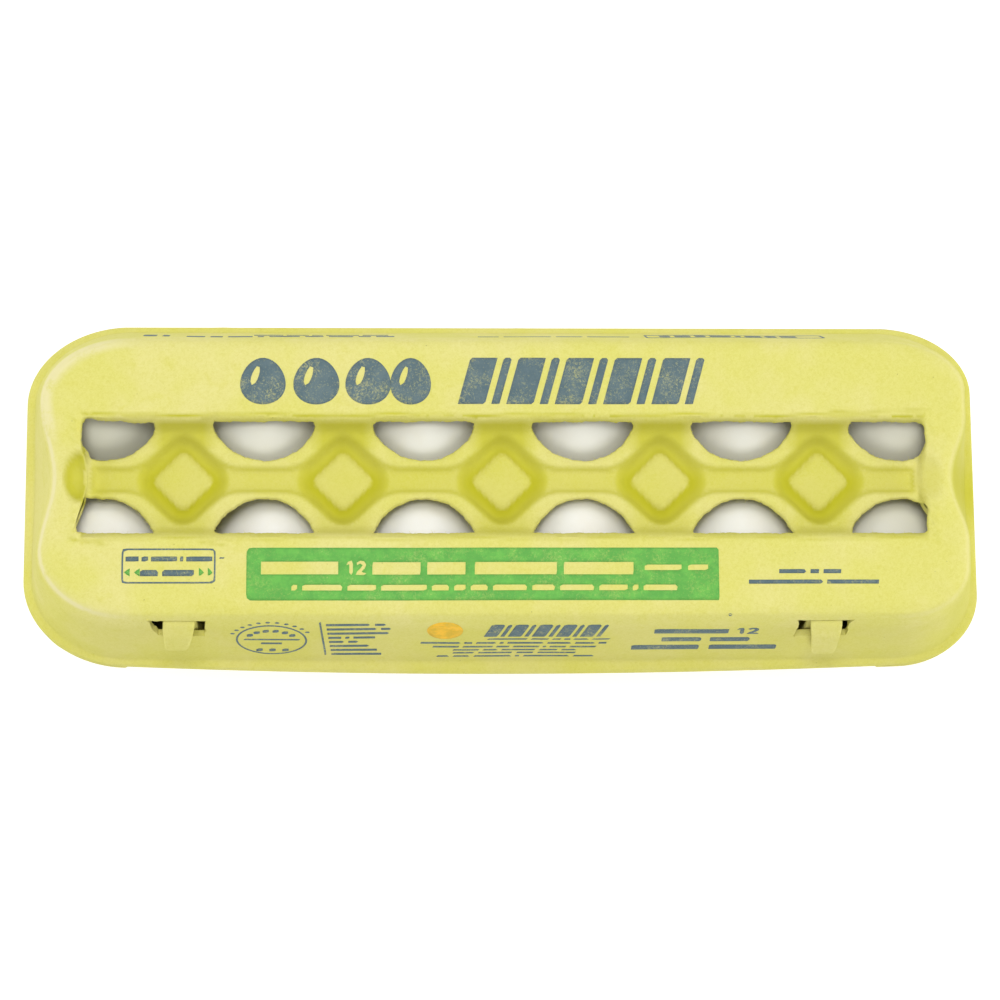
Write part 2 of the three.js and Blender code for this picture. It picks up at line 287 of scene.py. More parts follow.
def soft_loop(corners: Array, blur: float, step: float) -> Array:
    """A closed outline, resampled evenly and with its corners rounded.

    Args:
        corners: the outline's points in order.
        blur: length over which a corner is rounded.
        step: length between the points that come back.

    Returns:
        The outline's points.
    """
    closed = np.vstack([corners, corners[:1]])
    length = run_length(closed)
    fine = max(12, round(length[-1] / 0.1))
    dense = sampled(closed, length, np.arange(fine) * length[-1] / fine)
    half = round(blur / (length[-1] / fine) / 2)
    if half > 0:
        dense = blurred(dense, half, mode="wrap")
    count = max(6, round(length[-1] / step))
    return dense[(np.arange(count) * fine) // count]


def circle(count: int) -> Array:
    """Points evenly round the unit circle."""
    turn = np.arange(count) * 2 * np.pi / count
    return np.stack([np.cos(turn), np.sin(turn)], 1)


def loop_normals(loop: Array) -> Array:
    """Unit vectors that point out of a counter-clockwise outline, one a point."""
    tangent = np.roll(loop, -1, axis=0) - np.roll(loop, 1, axis=0)
    normal = np.stack([tangent[:, 1], -tangent[:, 0]], 1)
    return normal / np.maximum(np.linalg.norm(normal, axis=1, keepdims=True), 1e-9)


def path_normals(line: Array) -> Array:
    """Unit vectors that stand square on a path in the plane.

    Args:
        line: the path's points.

    Returns:
        One vector a point, to the path's left.
    """
    tangent = np.gradient(line, axis=0)
    tangent /= np.linalg.norm(tangent, axis=1, keepdims=True)
    return np.stack([-tangent[:, 1], tangent[:, 0]], 1)


def ccw(loop: Array) -> Array:
    """The outline turned counter-clockwise."""
    x, y = loop.T
    area = np.sum(x * np.roll(y, -1) - y * np.roll(x, -1))
    return loop if area > 0 else loop[::-1]


def in_outline(points: Array, outline: Array) -> Array:
    """Which points lie inside a closed outline.

    Args:
        points: the points, one a row.
        outline: the outline's corners in order.

    Returns:
        A mask over the points.
    """
    low, high = outline.min(0), outline.max(0)
    near = np.all((points >= low) & (points <= high), axis=1)
    found = np.zeros(len(points), bool)
    px, py = points[near].T
    inside = np.zeros(len(px), bool)
    for (x0, y0), (x1, y1) in zip(outline, np.roll(outline, -1, axis=0)):
        if y0 == y1:
            continue
        crosses = (y0 > py) != (y1 > py)
        inside ^= crosses & (px < (x1 - x0) * (py - y0) / (y1 - y0) + x0)
    found[near] = inside
    return found


def in_region(points: Array, outlines: Sequence[Array]) -> Array:
    """Which points lie inside a region.

    Args:
        points: the points, one a row.
        outlines: the region's border and then its openings.

    Returns:
        A mask over the points.
    """
    inside = in_outline(points, outlines[0])
    for hole in outlines[1:]:
        inside &= ~in_outline(points, hole)
    return inside


def thinned(points: Array, cell: float) -> Array:
    """The points with at most one left in each cell of a square grid."""
    _, first = np.unique(np.round(points / cell).astype(int), axis=0, return_index=True)
    return points[np.sort(first)]


def distances(points: Array, marks: Array) -> Array:
    """Distances in the plane.

    Args:
        points: the points, one a row.
        marks: the marks.

    Returns:
        Distance from each point to the nearest mark.
    """
    tree = KDTree(len(marks))
    for i, (x, y) in enumerate(marks):
        tree.insert((x, y, 0.0), i)
    tree.balance()
    return np.array([tree.find((x, y, 0.0))[2] for x, y in points])


def lattice(x0: float, x1: float, y0: float, y1: float, step: float) -> Array:
    """Points of a staggered grid over a rectangle.

    Args:
        x0: lowest X.
        x1: highest X.
        y0: lowest Y.
        y1: highest Y.
        step: distance between neighbours.

    Returns:
        The points, one a row.
    """
    ys = np.linspace(y0, y1, max(2, round((y1 - y0) / (step * 0.87)) + 1))
    count = max(2, round((x1 - x0) / step) + 1)
    rows = [
        np.stack([np.linspace(x0, x1, count) + (0.5 * step if i % 2 else 0), np.full(count, y)], 1)
        for i, y in enumerate(ys)
    ]
    return np.vstack(rows)


@dataclass
class PlanMesh:
    """A triangulated region of a plane, with its outlines as rows of point numbers."""

    points: Array
    triangles: Array
    loops: list[Array]

    @classmethod
    def cover(cls, border: Array, holes: Sequence[Array], inner: Array, clearance: float) -> PlanMesh:
        """Triangulates a region.

        Args:
            border: the region's outline.
            holes: outlines of the openings in it.
            inner: points wanted inside, of which those that crowd an outline are left out.
            clearance: least distance from an inner point to the outlines.

        Returns:
            The triangulated region, its border first among the loops.
        """
        outlines = [border, *holes]
        rim = np.vstack(outlines)
        inner = inner[in_region(inner, outlines)]
        inner = inner[distances(inner, rim) > clearance]
        points = np.vstack([rim, inner])
        edges, loops, start = [], [], 0
        for outline in outlines:
            loop = np.arange(start, start + len(outline))
            edges.extend(zip(loop.tolist(), np.roll(loop, -1).tolist()))
            loops.append(loop)
            start += len(outline)
        found = delaunay_2d_cdt([Vector(p) for p in points], edges, [], 0, 1e-6, True)
        place = np.zeros(len(points), int)
        for new, old in enumerate(found[3]):
            place[old] = new
        spots = np.array([(p.x, p.y) for p in found[0]])
        triangles = np.array(found[2])
        kept = triangles[in_region(spots[triangles].mean(1), outlines)]
        return cls(spots, kept, [place[loop] for loop in loops])


class MeshBook:
    """Gathers the points and faces of one piece and makes its object."""

    def __init__(self) -> None:
        """Starts an empty book."""
        self.blocks: list[Array] = []
        self.faces: list[list[int]] = []
        self.count = 0

    def add_points(self, xyz: Array) -> Array:
        """Adds points.

        Args:
            xyz: the points in millimetres, in an array of any shape that ends in 3.

        Returns:
            Their numbers, in an array of the same shape without its last side.
        """
        flat = np.asarray(xyz, float).reshape(-1, 3)
        numbers = np.arange(self.count, self.count + len(flat)).reshape(xyz.shape[:-1])
        self.blocks.append(flat)
        self.count += len(flat)
        return numbers

    def add_faces(self, faces: Array) -> None:
        """Adds faces, one a row of point numbers."""
        self.faces.extend(np.asarray(faces).tolist())

    def add_strip(self, first: Array, second: Array) -> None:
        """Joins two closed rows of as many points with a band of faces."""
        self.add_grid(np.stack([first, second]))

    def add_grid(self, numbers: Array, skip: Array | None = None) -> None:
        """Joins closed rows of points, one row a level, with faces.

        Args:
            numbers: point numbers by level and place.
            skip: mask of the faces to leave out, by level and place.
        """
        low, high = numbers[:-1], numbers[1:]
        quads = np.stack([low, np.roll(low, -1, 1), np.roll(high, -1, 1), high], -1)
        self.add_faces(quads[~skip] if skip is not None else quads.reshape(-1, 4))

    def add_sheets(self, triangles: Array, upper: Array, lower: Array) -> tuple[Array, Array]:
        """Adds two sheets of the same triangles that face away from each other.

        Args:
            triangles: the triangles, by the sheets' own point numbers.
            upper: points of the first sheet.
            lower: points of the second.

        Returns:
            Point numbers of both sheets.
        """
        sheets = self.add_points(upper), self.add_points(lower)
        self.add_faces(sheets[0][triangles])
        self.add_faces(sheets[1][triangles][:, ::-1])
        return sheets

    def add_edge(self, ends: tuple[Array, Array], edge: Array, heights: tuple[Array, Array],
                 steps: Sequence[tuple[float, Array | float]]) -> None:
        """Joins two sheets along an outline, through rows of points between them.

        Args:
            ends: the outline's point numbers on the first and on the second sheet.
            edge: the outline in plan.
            heights: heights of the outline on both sheets.
            steps: for each row its share of the way down and its shift out of the outline.
        """
        last, foot = ends
        high, low = heights
        for share, shift in steps:
            spots = edge + loop_normals(edge) * shift
            row = self.add_points(np.column_stack([spots, high + (low - high) * share]))
            self.add_strip(last, row)
            last = row
        self.add_strip(last, foot)

    def mesh(self, name: str, weld: bool = True) -> Mesh:
        """Makes the mesh, with its faces outward.

        Args:
            name: the mesh's name.
            weld: whether doubled points are merged.

        Returns:
            The mesh, in metres and at its place in the frame.
        """
        mesh = bpy.data.meshes.new(name)
        mesh.from_pydata(framed(np.vstack(self.blocks)).tolist(), [], self.faces)
        work = bmesh.new()
        work.from_mesh(mesh)
        if weld:
            bmesh.ops.remove_doubles(work, verts=work.verts, dist=WELD)
        bmesh.ops.recalc_face_normals(work, faces=work.faces)
        work.to_mesh(mesh)
        work.free()
        return mesh

    def build(self, name: str, material: Material) -> Piece:
        """Makes the object, shaded smooth.

        Args:
            name: the object's name.
            material: its finish.

        Returns:
            The new object, at the origin and with its place in its mesh.
        """
        mesh = self.mesh(name)
        mesh.polygons.foreach_set("use_smooth", [True] * len(mesh.polygons))
        mesh.set_sharp_from_angle(angle=SHARP)
        mesh.materials.append(material)
        return put(name, mesh)


# ------------------------------------------------------------------ node trees


@dataclass(frozen=True)
class Wire:
    """A socket of a node tree, on which the operators of Python add Math nodes."""

    graph: Graph
    socket: bpy.types.NodeSocket

    def math(self, operation: str, *values: Wire | float) -> Wire:
        """Adds a Math node with that operation and those inputs, and gives its output."""
        return self.graph.node("ShaderNodeMath", {"operation": operation}, dict(enumerate(values)))

    def __add__(self, other: Wire | float) -> Wire:
        """Sum."""
        return self.math("ADD", self, other)

    def __radd__(self, other: float) -> Wire:
        """Sum."""
        return self.math("ADD", other, self)

    def __sub__(self, other: Wire | float) -> Wire:
        """Difference."""
        return self.math("SUBTRACT", self, other)

    def __rsub__(self, other: float) -> Wire:
        """Difference."""
        return self.math("SUBTRACT", other, self)

    def __mul__(self, other: Wire | float) -> Wire:
        """Product."""
        return self.math("MULTIPLY", self, other)

    def __rmul__(self, other: float) -> Wire:
        """Product."""
        return self.math("MULTIPLY", other, self)

    def between(self, low: float, high: float) -> Wire:
        """Rises smoothly from 0 at `low` to 1 at `high`."""
        values = {"Value": self, "From Min": low, "From Max": high}
        return self.graph.node("ShaderNodeMapRange", {"interpolation_type": "SMOOTHSTEP"}, values)


class Graph:
    """A node tree that is built by code."""

    def __init__(self, tree: bpy.types.NodeTree) -> None:
        """Takes an empty tree."""
        self.tree = tree

    def node(self, kind: str, settings: dict[str, object] | None = None,
             values: dict[str | int, object] | None = None, output: str | int = 0) -> Wire:
        """Adds a node.

        Args:
            kind: the node's type.
            settings: its own settings, which are set first.
            values: values or wires for its sockets, by name or number.
            output: name or number of the output that is wanted.

        Returns:
            The wanted output, or the first input of a node that has none.
        """
        node = self.tree.nodes.new(kind)
        for name, value in (settings or {}).items():
            setattr(node, name, value)
        for name, value in (values or {}).items():
            if isinstance(value, Wire):
                self.tree.links.new(value.socket, node.inputs[name])
            else:
                node.inputs[name].default_value = value
        return Wire(self, node.outputs[output] if len(node.outputs) else node.inputs[0])

    def mix(self, factor: Wire | float, first: object, second: object) -> Wire:
        """Mixes two colours, `factor` being the share of the second."""
        return self.node("ShaderNodeMix", {"data_type": "RGBA"}, {0: factor, 6: first, 7: second}, 2)

    def vector(self, operation: str, *values: object) -> Wire:
        """Adds a Vector Math node with that operation and those inputs, and gives its vector."""
        return self.node("ShaderNodeVectorMath", {"operation": operation}, dict(enumerate(values)))

    def scaled(self, vector: Wire, factor: Wire) -> Wire:
        """A vector times a number."""
        return self.node("ShaderNodeVectorMath", {"operation": "SCALE"}, {0: vector, "Scale": factor})

    def noise(self, where: Wire, size: float, detail: float = 2.0, rough: float = 0.5,
              warp: float = 0.0) -> Wire:
        """Adds a noise.

        Args:
            where: coordinates in metres.
            size: size of a feature in millimetres.
            detail: number of finer layers.
            rough: strength of the finer layers.
            warp: distortion.

        Returns:
            The noise, about 0.5 in the middle.
        """
        values = {"Vector": where, "Scale": 1 / (size * MM), "Detail": detail}
        values |= {"Roughness": rough, "Distortion": warp}
        return self.node("ShaderNodeTexNoise", {}, values)

    def cells(self, where: Wire, size: float) -> Wire:
        """Distance from the middles of scattered cells, each about `size` millimetres wide."""
        values = {"Vector": where, "Scale": 1 / (size * MM)}
        return self.node("ShaderNodeTexVoronoi", {"feature": "F1"}, values, "Distance")

    def painted(self, name: str) -> Wire:
        """A tone that is painted on the points of a piece, 0 where it has none."""
        return self.node("ShaderNodeAttribute", {"attribute_name": name}, {}, "Fac")

    def bump(self, height: Wire, strength: float, depth: float) -> Wire:
        """A normal bumped by a height, with its depth in millimetres."""
        values = {"Strength": strength, "Distance": depth * MM, "Height": height}
        return self.node("ShaderNodeBump", {}, values)


class GeometryTree(Graph):
    """A Geometry Nodes tree with named inputs, which is run once and leaves a plain mesh."""

    def __init__(self, name: str) -> None:
        """Makes the tree with a geometry input and output."""
        super().__init__(bpy.data.node_groups.new(name, "GeometryNodeTree"))
        for way in ("INPUT", "OUTPUT"):
            self.tree.interface.new_socket("Geometry", in_out=way, socket_type="NodeSocketGeometry")
        self.entry = self.tree.nodes.new("NodeGroupInput")
        self.exit = self.tree.nodes.new("NodeGroupOutput")
        self.given = Wire(self, self.entry.outputs["Geometry"])
        self.sockets: dict[str, str] = {}

    def input(self, name: str, kind: str = "Float") -> Wire:
        """Adds a named input.

        Args:
            name: the input's name.
            kind: its type, such as Float, Vector, Int, Object or Material.

        Returns:
            The input's value inside the tree.
        """
        item = self.tree.interface.new_socket(name, in_out="INPUT", socket_type=f"NodeSocket{kind}")
        self.sockets[name] = item.identifier
        return Wire(self, self.entry.outputs[name])

    def layer(self, name: str, kind: str = "FLOAT_VECTOR") -> Wire:
        """Reads a named layer off the points."""
        return self.node("GeometryNodeInputNamedAttribute", {"data_type": kind}, {"Name": name})

    def moved(self, geometry: Wire, places: Wire) -> Wire:
        """The geometry with its points set to their places, shaded smooth."""
        moved = self.node("GeometryNodeSetPosition", {}, {"Geometry": geometry, "Position": places})
        return self.node("GeometryNodeSetShadeSmooth", {}, {"Geometry": moved, "Shade Smooth": True})

    def close(self, geometry: Wire, material: Wire) -> GeometryTree:
        """Ends the tree: instances made real, the material set, and the result passed out.

        Args:
            geometry: the geometry.
            material: its finish.

        Returns:
            The tree itself.
        """
        real = self.node("GeometryNodeRealizeInstances", {}, {"Geometry": geometry})
        done = self.node("GeometryNodeSetMaterial", {}, {"Geometry": real, "Material": material})
        self.tree.links.new(done.socket, self.exit.inputs["Geometry"])
        return self

    def run(self, mesh: Mesh, name: str, values: dict[str, object]) -> Piece:
        """Runs the tree on a mesh and keeps the result as a plain mesh.

        Args:
            mesh: the mesh that the modifier sits on.
            name: name of the object.
            values: values of the named inputs.

        Returns:
            The object with the result, at the origin and with no modifier.
        """
        carrier = put(name, mesh)
        modifier = carrier.modifiers.new(name, "NODES")
        modifier.node_group = self.tree
        for label, value in values.items():
            modifier[self.sockets[label]] = value
        bpy.context.view_layer.update()
        ready = carrier.evaluated_get(bpy.context.evaluated_depsgraph_get())
        result = bpy.data.meshes.new_from_object(ready)
        carrier.modifiers.remove(modifier)
        carrier.data = result
        result.name = name
        return carrier


# ------------------------------------------------------------------ finishes


def linear(red: float, green: float, blue: float) -> tuple[float, ...]:
    """An sRGB colour of 0 to 255 as the linear colour of a socket.

    Args:
        red: red.
        green: green.
        blue: blue.

    Returns:
        The linear colour with its alpha of 1.
    """
    parts = [c / 255 for c in (red, green, blue)]
    line = [c / 12.92 if c <= 0.04045 else ((c + 0.055) / 1.055) ** 2.4 for c in parts]
    return (*line, 1.0)


class Finish:
    """Shared steps of the finishes."""

    name: str

    def start(self) -> tuple[Material, Graph, Wire]:
        """Makes an empty material.

        Returns:
            The material, its tree and its object coordinates.
        """
        material = bpy.data.materials.new(self.name)
        material.use_nodes = True
        material.node_tree.nodes.clear()
        graph = Graph(material.node_tree)
        return material, graph, graph.node("ShaderNodeTexCoord", output="Object")

    def end(self, material: Material, graph: Graph, values: dict[str | int, object]) -> Material:
        """Ends a material with its Principled shader.

        Args:
            material: the material.
            graph: its tree.
            values: the shader's values.

        Returns:
            The material.
        """
        shader = graph.node("ShaderNodeBsdfPrincipled", {}, values)
        graph.node("ShaderNodeOutputMaterial", {}, {"Surface": shader})
        return material


@dataclass(frozen=True)
class PulpFinish(Finish):
    """Dyed moulded pulp: felted fibres, cloudy dye, a few flecks, and painted shade and a painted
    highlight from the tones on the points.
    """

    name: str = "moulded_pulp"
    body: Triple = (220, 215, 111)
    pale: Triple = (225, 218, 132)
    deep: Triple = (214, 208, 84)
    # painted shade tone for the lid's hollows and shaded walls; on the flap a deeper dye
    painted_shade_and_dye: Triple = (193, 189, 46)
    # painted highlight tone for the lit shoulders
    painted_highlight: Triple = (234, 226, 172)
    fleck: Triple = (150, 140, 62)
    fibre_light: Triple = (246, 243, 190)
    fibre_dark: Triple = (184, 176, 70)

    def colour(self, graph: Graph, where: Wire) -> Wire:
        """The pulp's colour over the surface, with painted shade and a painted highlight from the
        points' tones.

        Args:
            graph: the material's tree.
            where: object coordinates.

        Returns:
            The colour.
        """
        cloud = graph.noise(where, 26, detail=3, rough=0.6).between(0.36, 0.66)
        base = graph.mix(cloud, linear(*self.body), linear(*self.pale))
        streak = graph.noise(where, 5.5, detail=4, rough=0.65, warp=0.6).between(0.52, 0.8)
        felt = graph.noise(where, 0.9, detail=3, rough=0.7, warp=1.2)
        near_fleck = 1 - graph.cells(where, 2.6).between(0.04, 0.11)
        chance = graph.noise(where, 3.1, detail=1).between(0.62, 0.7)
        # noise that breaks the painted highlight into patches
        highlight_patches = graph.noise(where, 8.0, detail=4, rough=0.7).between(0.2, 0.5)
        layers = (
            (streak * 0.45, self.deep),
            (felt.between(0.3, 0.75) * 0.16, self.fibre_light),
            (felt.between(0.56, 0.2) * 0.14, self.fibre_dark),
            (near_fleck * chance * 0.55, self.fleck),
            # painted highlight on the lit shoulders, then painted shade in the hollows and on the
            # shaded walls
            (graph.painted("painted_highlight") * highlight_patches, self.painted_highlight),
            (graph.painted("hollow"), self.painted_shade_and_dye),
        )
        for share, tone in layers:
            base = graph.mix(share, base, linear(*tone))
        return base

    def relief(self, graph: Graph, where: Wire) -> Wire:
        """The felted surface as a bumped normal.

        Args:
            graph: the material's tree.
            where: object coordinates.

        Returns:
            The normal.
        """
        felt = graph.noise(where, 0.8, detail=4, rough=0.62, warp=1.6)
        lumps = graph.noise(where, 3.4, detail=3, rough=0.55, warp=0.4)
        dents = graph.noise(where, 11, detail=2, rough=0.5)
        return graph.bump(felt * 0.5 + lumps * 1.0 + dents * 1.5, 0.5, 0.35)

    def make(self) -> Material:
        """The finished material."""
        material, graph, where = self.start()
        dry = graph.noise(where, 1.6, detail=3).between(0.2, 0.8)
        values = {
            "Base Color": self.colour(graph, where),
            "Roughness": 0.86 + dry * 0.12,
            "Normal": self.relief(graph, where),
            "Specular IOR Level": 0.2,
        }
        return self.end(material, graph, values)


@dataclass(frozen=True)
class InkFinish(PulpFinish):
    """Stamped ink on pulp: it misses the hollows between the fibres."""

    name: str = "ink"
    ink: Triple = (96, 116, 126)
    solid: float = 0.85
    lightening: Triple = (1.14, 1.1, 1.07)  # how much lighter the ink is where it lies thin

    def make(self) -> Material:
        """The finished material."""
        material, graph, where = self.start()
        paper = self.colour(graph, where)
        tone = graph.noise(where, 4.2, detail=4, rough=0.7).between(0.35, 0.68)
        thin = [part * more for part, more in zip(self.ink, self.lightening)]
        skips = graph.noise(where, 0.7, detail=3, rough=0.75, warp=1.0)
        patchy = graph.noise(where, 7.5, detail=2, rough=0.6)
        missed = (skips * 0.7 + patchy * 0.3).between(0.5, 0.66) * (1.7 - self.solid * 1.5)
        values = {
            "Base Color": graph.mix(missed, graph.mix(tone, linear(*self.ink), linear(*thin)), paper),
            "Roughness": 0.8,
            "Normal": self.relief(graph, where),
            "Specular IOR Level": 0.3,
        }
        return self.end(material, graph, values)


@dataclass(frozen=True)
class ShellFinish(Finish):
    """White eggshell: fine pores, a faint bloom, slightly uneven tone, and painted shade by each egg's
    share.
    """

    name: str = "eggshell_white"
    white: Triple = (248, 247, 240)
    warm: Triple = (244, 241, 230)
    bloom: Triple = (252, 251, 246)
    painted_shade: Triple = (196, 195, 170)
    pore: Triple = (205, 198, 172)

    def make(self) -> Material:
        """The finished material."""
        material, graph, where = self.start()
        tone = graph.noise(where, 14, detail=3, rough=0.55).between(0.35, 0.7)
        chalk = graph.noise(where, 0.5, detail=2, rough=0.6)
        pits = 1 - graph.cells(where, 0.75).between(0.0, 0.22)
        colour = graph.mix(tone, linear(*self.white), linear(*self.warm))
        colour = graph.mix(chalk.between(0.6, 0.75) * 0.25, colour, linear(*self.bloom))
        # painted shade, by the share painted on each egg's points
        colour = graph.mix(graph.painted("shade"), colour, linear(*self.painted_shade))
        height = chalk * 0.35 - pits * 0.7 + graph.noise(where, 2.4, detail=2) * 0.8
        values = {
            "Base Color": graph.mix(pits * 0.12, colour, linear(*self.pore)),
            "Roughness": 0.46 + chalk * 0.16,
            "Normal": graph.bump(height, 0.22, 0.12),
            "Specular IOR Level": 0.35,
        }
        return self.end(material, graph, values)


@dataclass(frozen=True)
class FloorFinish(Finish):
    """Pale matt paper that the carton is shown on."""

    name: str = "pale_floor"
    shade: float = 0.5
    grain: float = 0.01
    glow: float = 0.74

    def make(self) -> Material:
        """The finished material."""
        material, graph, where = self.start()
        pale, dim = ((tone, tone, tone, 1) for tone in (self.shade, self.shade - self.grain))
        values = {
            "Base Color": graph.mix(graph.noise(where, 6, detail=4, rough=0.6), pale, dim),
            "Roughness": 0.9,
            "Specular IOR Level": 0.1,
            "Emission Color": (1.0, 1.0, 1.0, 1.0),
            "Emission Strength": self.glow,
        }
        return self.end(material, graph, values)


# ------------------------------------------------------------------ the carton's shared sizes


@dataclass(frozen=True)
class CartonSizes:
    """Driving sizes of the carton and the outline that its levels share."""

    length: float = 300.0
    half_depth: float = 54.25
    front_bow: float = 2.5
    height: float = 70.0
    rim: float = 36.0
    pulp: float = 1.8
    seam: float = 0.15
    pitch: float = 49.2
    row: float = 24.3
    corners: tuple[Pair, ...] = ((30.0, 21.5), (32.5, 25.5), (33.0, 27.0), (26.5, 22.5))
    corner_keep: Pair = (0.72, 0.55)
    waist: tuple[Pair, ...] = ((4.2, 24.0), (5.2, 19.5))  # depth and reach, left and right
    end_steps: int = 34
    corner_steps: int = 26
    back_steps: int = 64
    front_step: float = 3.5
    slot_steps: int = 19
    slot_margins: Triple = (0.9, 2, 3.4)  # where points stand beside a slot
    slot_edges: tuple[Pair, ...] = ((-107.7, -91.3), (89.4, 104.8))
    plain_half: float = 112.0  # half of the front's length that keeps its place as corners shrink

    @property
    def columns(self) -> list[float]:
        """X of each pair of cups."""
        return [n * self.pitch for n in (-2.5, -1.5, -0.5, 0.5, 1.5, 2.5)]

    @property
    def posts(self) -> list[float]:
        """X of each post."""
        return [n * self.pitch for n in (-2, -1, 0, 1, 2)]

    @property
    def front_columns(self) -> Array:
        """X of the points along the front, finer about the two slots."""
        left, right = self.corners[2][0] - self.length / 2, self.length / 2 - self.corners[3][0]
        coarse = np.arange(left, right - 0.1, self.front_step)
        fine = []
        for low, high in self.slot_edges:
            coarse = coarse[(coarse < low - 5) | (coarse > high + 5)]
            fine.extend(np.linspace(low, high, self.slot_steps))
            for margin in self.slot_margins:
                fine.extend([low - margin, high + margin])
        return np.sort(np.concatenate([coarse, fine]))

    def pinch(self, y: Array, sign: int) -> Array:
        """How far an end is pinched in at each Y, `sign` telling the left end from the right."""
        depth, reach = self.waist[0 if sign < 0 else 1]
        return depth * np.where(np.abs(y) < reach, np.cos(np.pi * y / (2 * reach)) ** 2, 0)

    def ring(self, side: float, end: float, waist: float, bow: float) -> Array:
        """The carton's outline at one level, counter-clockwise, always as many points.

        Args:
            side: inset of the long sides.
            end: inset of the ends.
            waist: share of the pinch.
            bow: share of the front's bow.

        Returns:
            The outline's points.
        """
        half_x, half_y = self.length / 2 - end, self.half_depth - side
        keep_x, keep_y = self.corner_keep
        radii = [(rx - end * keep_x, ry - side * keep_y) for rx, ry in self.corners]
        signs = ((1, 1), (-1, 1), (-1, -1), (1, -1))
        middles = [(sx * (half_x - rx), sy * (half_y - ry)) for (rx, ry), (sx, sy) in zip(radii, signs)]

        def arc(number: int) -> Array:
            """The corner of that number, without its last point."""
            turn = np.pi / 2 * (number + np.arange(self.corner_steps) / self.corner_steps)
            (cx, cy), (rx, ry) = middles[number], radii[number]
            return np.stack([cx + rx * np.cos(turn), cy + ry * np.sin(turn)], 1)

        def end_wall(start: float, stop: float, sign: int) -> Array:
            """One end of the outline."""
            y = np.linspace(start, stop, self.end_steps, endpoint=False)
            return np.stack([sign * (half_x - waist * self.pinch(y, sign)), y], 1)

        back = np.linspace(middles[0][0], middles[1][0], self.back_steps, endpoint=False)
        back_wall = np.stack([back, np.full(self.back_steps, half_y)], 1)
        left, right, plain = middles[2][0], middles[3][0], self.plain_half
        front = self.front_columns
        drawn = [front[0], -plain, plain, front[-1] + self.front_step]
        front = np.interp(front, drawn, [left, -plain, plain, right])
        bowed = 1 - unit(front / np.where(front < 0, left, right)) ** 2
        front_wall = np.stack([front, -half_y - bow * self.front_bow * bowed], 1)
        right_wall = end_wall(middles[3][1], middles[0][1], 1)
        left_wall = end_wall(middles[1][1], middles[2][1], -1)
        return np.vstack([right_wall, arc(0), back_wall, arc(1), left_wall, arc(2), front_wall, arc(3)])


# ------------------------------------------------------------------ lid


@dataclass(frozen=True)
class Tear:
    """A place where an outline is pulled out of shape."""

    x: float
    y: float
    reach: float
    pull_x: float
    pull_y: float

    def pulled(self, loop: Array) -> Array:
        """The outline with this pull applied."""
        away = np.hypot(loop[:, 0] - self.x, loop[:, 1] - self.y) / self.reach
        return loop + np.exp(-(away**2))[:, None] * np.array([self.pull_x, self.pull_y])


@dataclass(frozen=True)
class WindowCut:
    """A viewing window: part of a circle over the egg, cut straight on its outer side."""

    column: int
    row: Row
    tears: tuple[Tear, ...] = ()
    pitch: float = 48.85
    shift: float = -0.5
    back: tuple[float, ...] = (23.3, 17.6, 17.85, 1.0, 9.5)  # middle, radius, side, squeeze, blur
    front: tuple[float, ...] = (23.8, 18.4, 17.4, 0.935, 3.6)
    end_x: float = 129.4
    step: float = 0.62
    rough: float = 0.075
    ripples: tuple[Pair, ...] = ((3, 1.1), (7, 1.1), (13, 0.9), (23, 0.7), (37, 0.6), (53, 0.5))

    def outline(self) -> Array:
        """The window's edge.

        Returns:
            Its points, counter-clockwise.
        """
        middle = (self.column - 2.5) * self.pitch + self.shift
        over, radius, straight, squeeze, blur = self.back if self.row is Row.BACK else self.front
        half_turn = math.acos((over - straight) / radius)
        turn = np.linspace(-half_turn, half_turn, 60)
        arc = np.stack([middle + squeeze * radius * np.sin(turn), over - radius * np.cos(turn)], 1)
        side = np.stack([np.linspace(arc[-1, 0], arc[0, 0], 40)[1:-1], np.full(38, straight)], 1)
        loop = np.vstack([arc, side])
        loop[:, 0] = np.clip(loop[:, 0], -self.end_x, self.end_x)
        loop = soft_loop(loop, blur, self.step)
        loop[:, 1] *= self.row.value
        loop = ccw(loop)
        rng = np.random.default_rng(100 + self.column + 10 * self.row.value)
        along = np.arange(len(loop)) / len(loop) * 2 * np.pi
        wobble = np.zeros(len(loop))
        for turns, share in self.ripples:
            wobble += share * np.sin(turns * along + rng.uniform(0, 2 * np.pi))
        loop = loop + loop_normals(loop) * (wobble * self.rough)[:, None]
        for tear in self.tears:
            loop = tear.pulled(loop)
        return loop


